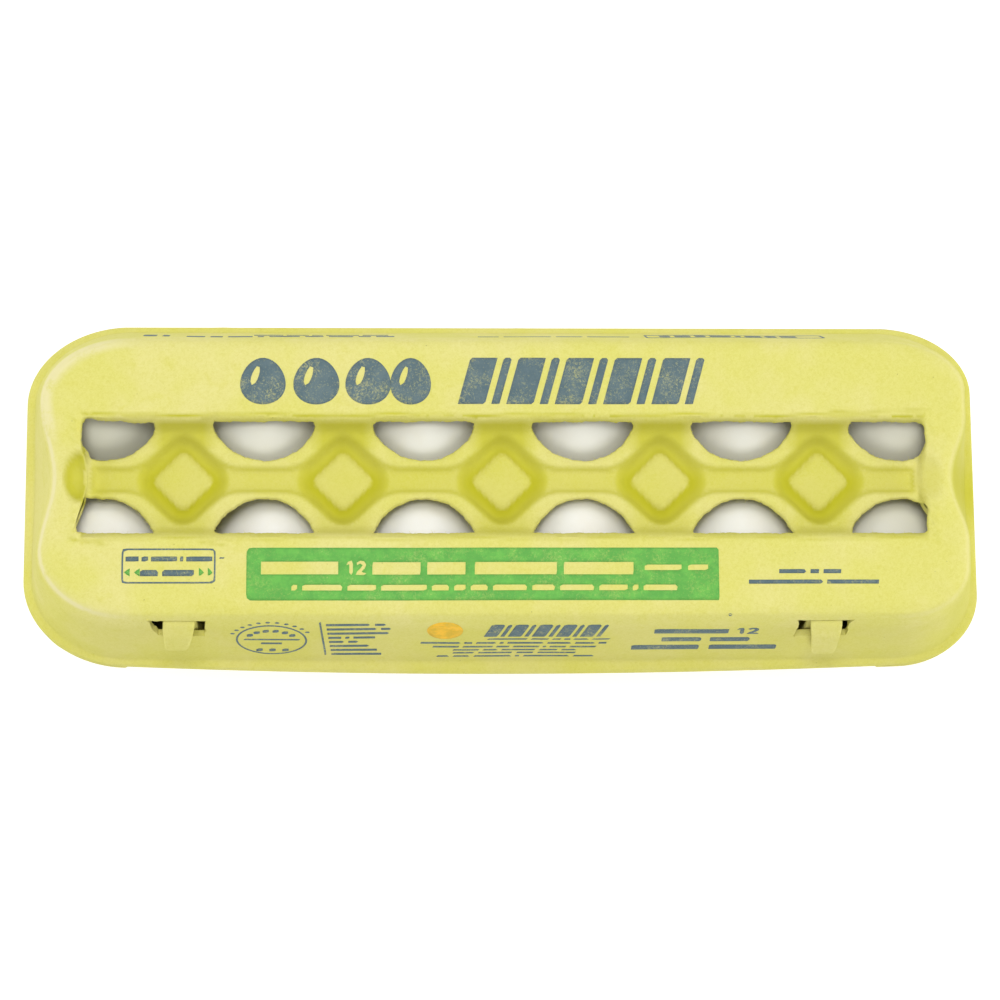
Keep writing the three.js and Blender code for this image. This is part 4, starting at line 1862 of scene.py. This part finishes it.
@dataclass
class Crease:
    """A pressed fold of pulp that joins two parts of the carton along X."""

    name: str
    finish: Material
    path: tuple[Pair, ...]
    half_x: float
    thickness: float = 0.9
    seed: int = 41
    columns: int = 150

    def section(self) -> Array:
        """The fold's cross-section.

        Returns:
            Its closed outline as (y, z).
        """
        line = soft_path(self.path, 0.8, 0.12)[::2]
        share = np.linspace(0, 1, len(line))
        half = self.thickness / 2 * np.sqrt(np.clip(1 - (2 * share - 1) ** 8, 0.02, 1))
        offset = path_normals(line) * half[:, None]
        return np.vstack([line + offset, (line - offset)[::-1]])

    def build(self) -> Piece:
        """The fold as one closed mesh.

        Returns:
            The fold's object.
        """
        section = self.section()
        middle = section.mean(0)
        xs = np.linspace(-self.half_x, self.half_x, self.columns)
        wave = 0.12 * Ripple(self.seed, 9, 50).at(xs, 0 * xs)
        taper = np.maximum(np.sqrt(unit(1 - (np.abs(xs) / self.half_x) ** 40)), 0.3)
        rows = [
            np.column_stack([np.full(len(section), x), middle + (section - middle) * t + (w, 0)])
            for x, w, t in zip(xs, wave, taper)
        ]
        book = MeshBook()
        numbers = book.add_points(np.array(rows))
        book.add_grid(numbers)
        for row in (numbers[0], numbers[-1]):
            hub = book.add_points(np.vstack(book.blocks)[row].mean(0)[None])
            book.add_faces(np.stack([row, np.roll(row, -1), np.full(len(row), hub[0])], 1))
        return book.build(self.name, self.finish)


# ------------------------------------------------------------------ stamped print


STAMP_HEIGHT = 85.0  # height that the stamps fall from onto the top
STAMP_REACH = 75.0  # distance from the middle line that they start from beside the walls


class Side(Enum):
    """Sides of the lid that carry print, by the way a stamp moves onto them."""

    TOP = (0.0, 0.0, -1.0)
    FRONT = (0.0, 1.0, 0.0)
    BACK = (0.0, -1.0, 0.0)

    def place(self, outline: Array) -> Array:
        """Sets flat points off the lid on this side.

        Args:
            outline: points as X and, on top, Y, or on a wall, Z.

        Returns:
            Points in space.
        """
        u, v = outline.T
        if self is Side.TOP:
            return np.stack([u, v, np.full(len(u), STAMP_HEIGHT)], 1)
        return np.stack([u, np.full(len(u), -STAMP_REACH * self.value[1]), v], 1)


@dataclass
class Mark:
    """One printed shape: a flat outline with openings, on one side of the lid."""

    side: Side
    outline: Array
    holes: list[Array] = field(default_factory=list)


def box_outline(x0: float, x1: float, y0: float, y1: float, lean: float = 0.0) -> Array:
    """A four-sided outline, its top shifted to the right by `lean`."""
    return np.array([(x0, y0), (x1, y0), (x1 + lean, y1), (x0 + lean, y1)], float)


def oval_outline(x: float, y: float, half_x: float, half_y: float, narrow: float = 0.0) -> Array:
    """An oval or egg-shaped outline.

    Args:
        x: X of its middle.
        y: height of its middle.
        half_x: half its width.
        half_y: half its height.
        narrow: how much narrower the top is, for an egg.

    Returns:
        Its points.
    """
    turn = np.linspace(0, 2 * np.pi, 48, endpoint=False)
    width = half_x * (1 - narrow * np.sin(turn))
    return np.stack([x + width * np.cos(turn), y + half_y * np.sin(turn)], 1)


def framed_box(side: Side, outer: Sequence[float], inner: Sequence[float], step: float) -> Mark:
    """A line round a box with soft corners.

    Args:
        side: side of the lid.
        outer: left, right, low and high of the line's outer edge.
        inner: the same of its inner edge.
        step: length between the points.

    Returns:
        The frame.
    """
    edges = [soft_loop(box_outline(*box), blur, step) for box, blur in ((outer, 3.0), (inner, 2.4))]
    return Mark(side, edges[0], [edges[1]])


def words(side: Side, start: float, stop: float, y: float, tall: float,
          letters: Sequence[int]) -> list[Mark]:
    """A line of print as one bar a word.

    Args:
        side: side of the lid.
        start: where the line starts.
        stop: where it ends.
        y: height of its middle.
        tall: height of a bar.
        letters: length of each word in letters.

    Returns:
        The bars.
    """
    wide = (stop - start) / (sum(letters) + 0.9 * (len(letters) - 1))
    marks, x = [], start
    for count in letters:
        marks.append(Mark(side, box_outline(x, x + wide * count, y - tall / 2, y + tall / 2)))
        x += wide * (count + 0.9)
    return marks


def slanted(side: Side, start: float, stop: float, y0: float, y1: float, lean: float) -> list[Mark]:
    """Five slanted blocks, each with a narrow bar beside it.

    Args:
        side: side of the lid.
        start: where the row starts.
        stop: where it ends.
        y0: foot.
        y1: head.
        lean: lean of each block.

    Returns:
        The blocks.
    """
    pitch = (stop - start - lean) / 5
    marks = []
    for x in (start + n * pitch for n in range(5)):
        marks.append(Mark(side, box_outline(x, x + pitch * 0.56, y0, y1, lean)))
        marks.append(Mark(side, box_outline(x + pitch * 0.69, x + pitch * 0.86, y0, y1, lean)))
    return marks


@dataclass
class PrintLayout:
    """Where the generic marks are: eggs, bars, a label, a framed box and a count of twelve."""

    one: tuple[Pair, ...] = (
        (0.05, 0.66), (0.22, 0.8), (0.22, 0), (0.43, 0), (0.43, 1), (0.26, 1), (0.05, 0.84),
    )
    two: tuple[Pair, ...] = (
        (0, 0), (0.62, 0), (0.62, 0.17), (0.27, 0.17), (0.52, 0.44), (0.62, 0.66), (0.58, 0.86),
        (0.45, 0.98), (0.3, 1), (0.13, 0.95), (0.03, 0.83), (0.01, 0.68), (0.2, 0.66), (0.23, 0.78),
        (0.31, 0.83), (0.39, 0.78), (0.41, 0.67), (0.34, 0.53), (0, 0.15),
    )
    eggs: tuple[Pair, ...] = ((-74.1, 6.9), (-57.8, 7.0), (-42.0, 6.9), (-29.0, 6.2))  # X, half width
    top_lines: tuple[tuple, ...] = (  # start, stop, height, bar height, letters
        (-115.0, -88.9, -25.4, 1.5, (4, 2, 8, 1, 8)),
        (-110.6, -94.4, -29.7, 1.9, (4, 7)),
        (-86.8, -85.2, -25.1, 0.45, (1,)),
        (82.9, 101.9, -29.3, 1.25, (6, 2, 4)),
        (73.6, 113.4, -32.5, 1.25, (17, 12)),
    )
    front_lines: tuple[tuple, ...] = (
        (-5.5, 32.4, 54.5, 0.8, (13, 6, 3, 2, 5, 6)),
        (-26, 31.4, 51.8, 1.1, (10, 2, 5, 1, 9, 6, 5, 2)),
        (-22.3, 28.4, 49.2, 1.0, (8, 9, 4, 8, 1, 5, 8)),
        (-16, 22.3, 47.0, 0.9, (7, 4, 9, 5, 4)),
        (-16, 22.3, 45.0, 0.9, (5, 8, 4, 9)),
        (-21, 28, 42.7, 0.9, (3, 4, 9, 1, 11, 5)),
        (45.6, 68.4, 59.4, 2.9, (7,)),
        (48.3, 75.4, 53.8, 2.7, (4, 4)),
        (39.3, 84.3, 48.4, 3.0, (6, 6)),
    )
    back_lines: tuple[tuple, ...] = (
        (-112.0, -104.0, 55.0, 7.0, (2, 1)),
        (-98.5, -34.0, 57.0, 4.2, (3, 2, 4, 1, 5, 3, 4, 2, 3)),
        (-78.0, -36.0, 50.6, 2.4, (8, 6, 3, 9, 7)),
        (-8.0, 39.5, 56.0, 1.6, (4, 9, 5, 8)),
        (49.0, 92.0, 54.5, 5.6, (2, 3, 2, 4, 1, 3, 2, 3)),
    )
    seal: Pair = (-71.6, 53.9)
    seal_lines: tuple[tuple, ...] = ((-80.2, -62.8, 54.3, 0.9, (12,)), (-75.0, -68.4, 51.6, 1.1, (4,)))
    side_lines: tuple[tuple, ...] = (  # stop, letters
        (-36.5, (8, 2)), (-35.0, (10, 2)), (-35.6, (11,)), (-39.9, (3, 1, 5)),
        (-45.1, (3, 2)), (-41.8, (9,)), (-39.4, (9,)), (-38.1, (10,)),
    )
    label_boxes: Rows = (  # left, right, low and high of the bars left open in the label
        (-40.6, -26.0, -30.2, -26.4), (-24.0, -12.4, -30.2, -26.4), (-9.6, 15.3, -30.2, -26.4),
        (17.4, 38.6, -30.2, -26.4), (42.0, 53.2, -28.9, -27.2), (55.2, 61.3, -28.9, -27.2),
    )
    label_letters: tuple[int, ...] = (1, 7, 5, 8, 3, 2, 3, 6, 4, 6, 5, 1, 6)
    pointers: tuple[Pair, ...] = ((-115.4, -113.7), (-112.4, -110.7), (-91.2, -92.9), (-88.6, -90.2))

    def digits(self, x: float, y: float, tall: float, wide: float) -> list[Array]:
        """Outlines of a plain count of twelve.

        Args:
            x: left edge.
            y: foot.
            tall: height.
            wide: width of both digits together.

        Returns:
            One outline a digit.
        """
        scale = np.array([wide / 1.22, tall])
        pair = ((self.one, 0), (self.two, 0.6))
        return [np.array(digit) * scale + (x + shift * scale[0], y) for digit, shift in pair]

    def grey(self) -> list[Mark]:
        """Marks in grey-blue ink."""
        top, front, back = Side.TOP, Side.FRONT, Side.BACK
        marks = []
        for x, half in self.eggs:
            glint = oval_outline(x - half * 0.34, 31.4, half * 0.16, 3.1, 0.1)
            glint[:, 0] += (glint[:, 1] - 31.4) * 0.3
            marks.append(Mark(top, oval_outline(x, 29.6, half, 7.3, 0.14), [glint]))
        marks += slanted(top, -14.6, 63.6, 22.5, 37.0, 4.0)
        marks += slanted(front, -6.6, 32.6, 56.2, 64.4, 2.4)
        marks.append(framed_box(top, (-116.2, -87.9, -32.9, -22.2), (-115.7, -88.4, -32.4, -22.7), 1.0))
        marks.append(framed_box(back, (44.4, 100.5, 48.6, 60.4), (45.1, 99.8, 49.8, 59.4), 1.2))
        marks.append(Mark(top, oval_outline(67.9, -42.4, 0.55, 0.4)))
        marks += [Mark(front, digit) for digit in self.digits(70.6, 57.5, 4.2, 7.2)]
        for side, lines in ((top, self.top_lines), (front, self.front_lines), (back, self.back_lines)):
            for line in lines:
                marks += words(side, *line)
        return marks + self.front_stamp()

    def front_stamp(self) -> list[Mark]:
        """The oval stamp on the front wall, its rule and the short lines beside it."""
        front, (x0, z0) = Side.FRONT, self.seal
        outlines = []
        for turn in np.radians(np.arange(28, 160, 13.0)):
            x, z = x0 + 12.6 * math.cos(turn), z0 + 11.8 * math.sin(turn)
            outlines.append(oval_outline(x, z, 0.75, 0.5))
        for turn in np.radians(np.arange(35, 150, 22.0)):
            x, z = x0 + 7.9 * math.cos(turn), 53.2 + 7.0 * math.sin(turn)
            outlines.append(box_outline(x - 0.95, x + 0.95, z - 0.9, z + 0.9))
        outlines += [box_outline(x - 1.0, x + 1.0, 45.9, 47.8) for x in (-75.6, -71.6, -67.6)]
        outlines.append(box_outline(-55.6, -55.0, 43.2, 66.2, -1.2))
        marks = [Mark(front, oval_outline(x0, z0, 10.9, 10.2), [oval_outline(x0, z0, 10.3, 9.5)])]
        marks += [Mark(front, outline) for outline in outlines]
        for line in self.seal_lines:
            marks += words(front, *line)
        for n, (stop, letters) in enumerate(self.side_lines):
            marks += words(front, -54.7 + 0.17 * n, stop, 64.2 - 2.87 * n, 1.35, letters)
        return marks

    def green(self) -> list[Mark]:
        """Marks in green ink: the label, with bars left open in it, and four pointers."""
        top = Side.TOP
        left = soft_loop(box_outline(-78.6, -40, -38.1, -22.0), 4.2, 1.2)
        left = left[left[:, 0] < -60]
        order = np.argsort(np.arctan2(left[:, 1] + 30.05, left[:, 0] + 60) % (2 * np.pi))
        outline = np.vstack([left[order], [(64.6, -38.1), (64.6, -22.0)]])
        lines = words(top, -74.2, -50.9, -28.2, 3.9, (1,))
        lines += words(top, -65.0, 51.9, -34.2, 1.75, self.label_letters)
        openings = [line.outline for line in lines] + self.digits(-48.7, -30.3, 4.4, 6.3)
        openings += [box_outline(*box) for box in self.label_boxes]
        marks = [Mark(top, outline, openings)]
        for tip, base in self.pointers:
            marks.append(Mark(top, np.array([(tip, -29.5), (base, -30.9), (base, -28.1)])))
        return marks

    def orange(self) -> list[Mark]:
        """The plain orange spot."""
        return [Mark(Side.FRONT, oval_outline(-18.5, 60.2, 5.5, 5.6))]


@dataclass
class LidPrint:
    """Stamped print: thin films of ink that one Geometry Nodes tree lays onto the lid."""

    lid: Piece
    cell: float = 1.3
    film: float = 0.07

    def tree(self) -> GeometryTree:
        """The tree that drops every point onto the lid along the way its stamp moves.

        Returns:
            The tree, with the lid as an input.
        """
        tree = GeometryTree("stamped_print")
        lid, finish = tree.input("Lid", "Object"), tree.input("Finish", "Material")
        surface = tree.node("GeometryNodeObjectInfo", {}, {"Object": lid}, "Geometry")
        values = {"Target Geometry": surface, "Ray Direction": tree.layer("way"), "Ray Length": 0.2}
        spot = tree.node("GeometryNodeRaycast", {}, values, "Hit Position")
        normal = Wire(tree, spot.socket.node.outputs["Hit Normal"])
        spot = tree.vector("ADD", spot, tree.scaled(normal, tree.layer("lift", "FLOAT")))
        return tree.close(tree.moved(tree.given, spot), finish)

    def flat(self, name: str, marks: list[Mark]) -> Mesh:
        """The marks as flat closed films off the lid.

        Args:
            name: name of the mesh.
            marks: the marks.

        Returns:
            The mesh, with each point's lift and way.
        """
        book = MeshBook()
        ways, lifts = [], []
        for mark in marks:
            outline = soft_loop(ccw(mark.outline), 0.0, self.cell)
            holes = [soft_loop(ccw(hole), 0.0, self.cell) for hole in mark.holes]
            low, high = outline.min(0), outline.max(0)
            inner = np.zeros((0, 2))
            if min(high - low) > 2 * self.cell:
                inner = lattice(low[0], high[0], low[1], high[1], self.cell)
            plan = PlanMesh.cover(outline, holes, inner, self.cell * 0.5)
            spots, way = mark.side.place(plan.points), np.array(mark.side.value)
            upper, lower = book.add_sheets(
                plan.triangles, spots - way * self.film, spots + way * self.film
            )
            for loop in plan.loops:
                book.add_strip(upper[loop], lower[loop])
            lifts.append(np.repeat([self.film * MM, -self.film * MM], len(spots)))
            ways.append(np.tile(way, (2 * len(spots), 1)))
        mesh = book.mesh(name, weld=False)
        write_layer(mesh, "lift", np.concatenate(lifts))
        write_layer(mesh, "way", np.vstack(ways))
        return mesh

    def build(self) -> list[Piece]:
        """Stamps the three inks.

        Returns:
            One object an ink.
        """
        layout = PrintLayout()
        tree = self.tree()
        inks = (
            ("print_grey", layout.grey(), InkFinish("ink_grey_blue", ink=(90, 111, 118))),
            ("print_green", layout.green(), InkFinish("ink_green", ink=(98, 172, 78), solid=0.95)),
            ("print_orange", layout.orange(), InkFinish("ink_orange", ink=(222, 182, 52), solid=0.97)),
        )
        return [
            tree.run(self.flat(name, marks), name, {"Lid": self.lid, "Finish": finish.make()})
            for name, marks, finish in inks
        ]


# ------------------------------------------------------------------ torn fibres


@dataclass
class TornFibres:
    """Short fibres that stand out of the cut edges, scattered by a Geometry Nodes tree."""

    finish: Material
    length: float = 1.3
    width: float = 0.11
    seed: int = 7

    def tree(self) -> GeometryTree:
        """The tree that puts a bent fibre on each point of an edge, turned at random.

        Returns:
            The tree, with the fibre's sizes as inputs.
        """
        tree = GeometryTree("torn_fibres")
        length, width = tree.input("Length"), tree.input("Width")
        seed, finish = tree.input("Seed", "Int"), tree.input("Finish", "Material")
        middle = tree.node("ShaderNodeCombineXYZ", {}, {"X": length * 0.18, "Z": length * 0.5})
        end = tree.node("ShaderNodeCombineXYZ", {}, {"X": length * -0.12, "Z": length})
        values = {"Resolution": 5, "Start": (0.0, 0.0, 0.0), "Middle": middle, "End": end}
        bend = tree.node("GeometryNodeCurveQuadraticBezier", {}, values)
        thin = 1 - tree.node("GeometryNodeSplineParameter", {}, {}, "Factor") * 0.8
        bend = tree.node("GeometryNodeSetCurveRadius", {}, {"Curve": bend, "Radius": thin})
        values = {"Resolution": 4, "Radius": width * 0.5}
        ring = tree.node("GeometryNodeCurvePrimitiveCircle", {}, values, "Curve")
        values = {"Curve": bend, "Profile Curve": ring, "Scale": thin, "Fill Caps": True}
        fibre = tree.node("GeometryNodeCurveToMesh", {}, values)
        values = {"Min": (-0.9, -0.9, -0.6), "Max": (0.9, 0.9, 0.6), "Seed": seed}
        stray = tree.node("FunctionNodeRandomValue", {"data_type": "FLOAT_VECTOR"}, values, 0)
        way = tree.vector("ADD", tree.layer("way"), stray)
        turn = tree.node("FunctionNodeAlignRotationToVector", {"axis": "Z"}, {"Vector": way})
        values = {2: 0.45, 3: 1.15, "Seed": seed}
        size = tree.node("FunctionNodeRandomValue", {"data_type": "FLOAT"}, values, 1)
        points = tree.node("GeometryNodeMeshToPoints", {}, {"Mesh": tree.given})
        values = {"Points": points, "Instance": fibre, "Rotation": turn, "Scale": size}
        return tree.close(tree.node("GeometryNodeInstanceOnPoints", {}, values), finish)

    def build(self, spots: Array, ways: Array) -> Piece:
        """Scatters the fibres.

        Args:
            spots: where they stand, in millimetres.
            ways: the way that each points before it strays.

        Returns:
            The fibres in one object.
        """
        mesh = bpy.data.meshes.new("torn_fibres")
        mesh.from_pydata(framed(spots).tolist(), [], [])
        write_layer(mesh, "way", ways)
        values = {"Length": self.length * MM, "Width": self.width * MM}
        return self.tree().run(mesh, "torn_fibres", values | {"Seed": self.seed, "Finish": self.finish})


# ------------------------------------------------------------------ eggs


@dataclass
class EggClutch:
    """Twelve eggs, each grown by one Geometry Nodes tree round the axis of its node.

    The rows of numbers are for the back and the front eggs, from left to right.
    """

    finish: Material
    taper: float = 0.13
    levels: int = 6
    # painted shade of each egg: the back row and the end eggs darker, as they lie deeper in the lid's
    # shade
    shades: Rows = ((0.65, 0.4, 0.28, 0.25, 0.3, 0.5), (0.05, 0.0, 0.0, 0.04, 0.1, 0.45))
    leans: Rows = ((2.5, 5.0, 5.0, 4.6, 4.4, 3.5), (3.9, 5.0, 5.8, 5.6, 4.6, 4.8))
    sideways: Rows = ((0.4, 0.0, 0.0, 0.0, 0.0, -0.4), (1.5, 1.4, 0.0, 0.0, 0.0, -1.4))
    lift: float = 1.5
    seed_step: float = 3.7  # between the places in the noise that the eggs' lumps come from
    lumps: Pair = (1.1, 0.02)  # their fineness and share of the radius

    def tree(self) -> GeometryTree:
        """The tree that grows one egg, blunt end up.

        Returns:
            The tree, with the egg's sizes as inputs.
        """
        tree = GeometryTree("egg")
        foot, axis = tree.input("Foot", "Vector"), tree.input("Axis", "Vector")
        radius, taper = tree.input("Radius"), tree.input("Taper")
        levels, seed = tree.input("Levels", "Int"), tree.input("Seed")
        finish = tree.input("Finish", "Material")
        values = {"Radius": 1.0, "Subdivisions": levels}
        ball = tree.node("GeometryNodeMeshIcoSphere", {}, values, "Mesh")
        unit_ball = tree.vector("NORMALIZE", tree.node("GeometryNodeInputPosition"))
        up = tree.node("ShaderNodeSeparateXYZ", {}, {0: unit_ball}, "Z")
        scale, share = self.lumps
        values = {"Vector": unit_ball, "W": seed, "Scale": scale, "Detail": 1.0}
        lump = tree.node("ShaderNodeTexNoise", {"noise_dimensions": "4D"}, values)
        reach = radius * (1 + taper * up) * (1 + (lump - 0.5) * share)
        flat = tree.scaled(tree.vector("MULTIPLY", unit_ball, (1.0, 1.0, 0.0)), reach)
        along = tree.scaled(axis, (up + 1) * 0.5)
        spot = tree.vector("ADD", tree.vector("ADD", flat, along), foot)
        return tree.close(tree.moved(ball, spot), finish)

    def build(self, nodes: dict[str, Piece]) -> dict[str, Piece]:
        """Grows the eggs.

        Args:
            nodes: the frame's nodes.

        Returns:
            The eggs by the name of the node that each stands for.
        """
        tree = self.tree()
        eggs = {}
        columns = np.array(CartonSizes().columns) * MM
        widest = 1 + self.taper**2 * 0.5
        for seed, name in enumerate(sorted(name for name in nodes if name.startswith("egg_"))):
            points = np.array([v.co for v in nodes[name].data.vertices])
            foot, head = points[points[:, 2].argmin()], points[points[:, 2].argmax()]
            row = 0 if foot[1] > 0 else 1
            column = int(np.argmin(np.abs(columns - foot[0])))
            inward = -np.sign(foot[1]) * self.leans[row][column]
            lean = np.array([self.sideways[row][column], inward, self.lift]) * MM
            low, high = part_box(name)
            values = {
                "Foot": foot.tolist(),
                "Axis": (head - foot + lean).tolist(),
                "Radius": (high.x - low.x + high.y - low.y) / 4 / widest,
                "Taper": self.taper,
                "Levels": self.levels,
                "Seed": seed * self.seed_step,
                "Finish": self.finish,
            }
            egg = tree.run(bpy.data.meshes.new(name), name.replace("egg_", "eggshell_"), values)
            shade = np.full(len(egg.data.vertices), self.shades[row][column])
            write_layer(egg.data, "shade", shade)
            eggs[name] = egg
        return eggs


# ------------------------------------------------------------------ studio


@dataclass
class Studio:
    """Floor, soft light and the camera."""

    aim: Triple = (-0.65, 0.0, 36.0)
    distance: float = 894.0
    lean_front: float = 10.0
    lean_left: float = 2.0
    focal_px: float = 2825.0
    frame_px: float = 1000.0
    sensor: float = 36.0
    far: float = 20.0
    floor_half: float = 12.0
    floor_steps: int = 12
    lamps: tuple[tuple, ...] = (  # name, place in metres, side in metres, watts
        ("top", (-0.1, 0.08, 1.82), 0.9, 16),
        ("front", (0.2, -1.35, 1.2), 1.0, 8),
        ("back", (0.1, 1.15, 1.5), 1.0, 8),
        ("left", (-1.9, 0.2, 0.5), 1.0, 10.5),
        ("right", (1.9, 0.1, 0.5), 1.0, 13),
    )
    lit: Triple = (0, 0, 0.04)  # where the lamps point, in metres
    surround: float = 0.2

    def build(self) -> None:
        """Makes the floor, the lights and the camera."""
        self.floor()
        for lamp in self.lamps:
            self.lamp(*lamp)
        self.world()
        self.camera()

    def floor(self) -> None:
        """A wide pale sheet under the carton."""
        mesh = bpy.data.meshes.new("floor")
        rows = self.floor_steps + 1
        side = np.linspace(-self.floor_half, self.floor_half, rows)
        corners = [j * rows + i for j in range(self.floor_steps) for i in range(self.floor_steps)]
        quads = [(first, first + 1, first + rows + 1, first + rows) for first in corners]
        mesh.from_pydata([(x, y, 0.0) for y in side for x in side], [], quads)
        mesh.materials.append(FloorFinish().make())
        put("floor", mesh)

    def lamp(self, name: str, place: Triple, size: float, power: float) -> None:
        """Adds a square lamp that faces the carton.

        Args:
            name: the lamp's name.
            place: where it hangs, in metres.
            size: its side in metres.
            power: its power in watts.
        """
        light = bpy.data.lights.new(name, "AREA")
        light.shape = "SQUARE"
        light.size = size
        light.energy = power
        lamp = put(name, light)
        lamp.location = place
        toward = Vector(self.lit) - Vector(place)
        lamp.rotation_euler = toward.to_track_quat("-Z", "Y").to_euler()

    def world(self) -> None:
        """A dim white surround, and colours shown as they are."""
        world = bpy.data.worlds.new("surround")
        world.use_nodes = True
        background = world.node_tree.nodes["Background"]
        background.inputs["Color"].default_value = (1.0, 1.0, 1.0, 1.0)
        background.inputs["Strength"].default_value = self.surround
        bpy.context.scene.world = world
        bpy.context.scene.view_settings.view_transform = "Standard"

    def camera(self) -> None:
        """The camera, nearly overhead and a little in front and to the left."""
        tangents = [math.tan(math.radians(a)) for a in (self.lean_left, self.lean_front)]
        back = Vector((-tangents[0], -tangents[1], 1)).normalized()
        data = bpy.data.cameras.new("camera")
        data.sensor_width = self.sensor
        data.lens = self.focal_px / self.frame_px * data.sensor_width
        data.clip_end = self.far
        camera = put("camera", data)
        up = back.cross(Vector((1, 0, 0))).normalized()
        place = (Vector(self.aim) + back * self.distance) * MM
        matrix = camera.matrix_world.copy()
        for column, axis in enumerate((up.cross(back), up, back, place)):
            matrix.col[column][:3] = axis
        camera.matrix_world = matrix
        bpy.context.scene.camera = camera


# ------------------------------------------------------------------ the whole


BACK_FOLD = ((52.8, 34.7), (53.75, 35.3), (53.95, 36.0), (53.75, 36.7), (52.8, 37.3))
FRONT_FOLD = ((-49.6, 34.6), (-50.45, 35.2), (-50.3, 36.2), (-49.75, 37.2))
WINDOW_TEARS: dict[tuple[int, Row], tuple[Tear, ...]] = {
    (0, Row.BACK): (
        Tear(-128.5, 17.6, 5.0, 0.0, 0.9),
        Tear(-112.0, 17.0, 4.0, 0.0, -0.5),
        Tear(-128.9, 7.6, 1.6, 0.9, 0.7),
    ),
    (0, Row.FRONT): (
        Tear(-129.4, -13.0, 9.0, -1.1, 0.0),
        Tear(-128.4, -8.6, 3.2, -1.3, 1.3),
        Tear(-125.5, -6.6, 1.6, 0.4, 0.6),
    ),
    (5, Row.BACK): (Tear(107.3, 15.6, 1.4, -0.9, 0.9),),
    (5, Row.FRONT): (Tear(128.4, -7.5, 2.0, 0.5, -0.9),),
    (1, Row.FRONT): (Tear(-89.3, -16.4, 1.3, 0.5, 1.2),),
}


def settle(piece: Piece, body: Body, node: str | None = None) -> None:
    """Puts a finished piece on its body.

    Args:
        piece: the piece.
        body: the body that it moves with.
        node: the node that it stands for, if it replaces one.
    """
    if node is not None:
        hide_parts(node)
    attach(piece, body.value)
    log.info("%s: %d faces on %s", piece.name, len(piece.data.polygons), body.value)


def main() -> None:
    """Builds the dressed carton in order, piece by piece."""
    logging.basicConfig(level=logging.INFO, format="%(name)s %(message)s")
    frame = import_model()
    sizes = CartonSizes()
    pulp = PulpFinish().make()
    shell = ShellFinish().make()
    for name, node in frame["nodes"].items():
        node.data.materials.clear()
        node.data.materials.append(shell if name.startswith("egg_") else pulp)

    places = [(column, row) for row in Row for column in range(6)]
    windows = tuple(WindowCut(*place, WINDOW_TEARS.get(place, ())) for place in places)
    lid = LidShell(sizes, pulp, windows=windows)
    lid_piece = lid.build()
    for film in LidPrint(lid_piece).build():
        settle(film, Body.LID)
    settle(TornFibres(pulp).build(*lid.frayed()), Body.LID)
    settle(lid_piece, Body.LID, "lid")
    settle(TrayShell(sizes, pulp).build(), Body.TRAY, "tray")
    settle(LockFlap(sizes, pulp).build(), Body.FLAP, "flap")
    fold = Crease("back_fold", pulp, BACK_FOLD, 115.0).build()
    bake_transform(fold)
    fold = Crease("front_fold", pulp, FRONT_FOLD, 115.6, 0.8, 43).build()
    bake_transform(fold)
    for name, egg in EggClutch(shell).build(frame["nodes"]).items():
        settle(egg, Body.TRAY, name)
    Studio().build()


if __name__ == "__main__":
    main()
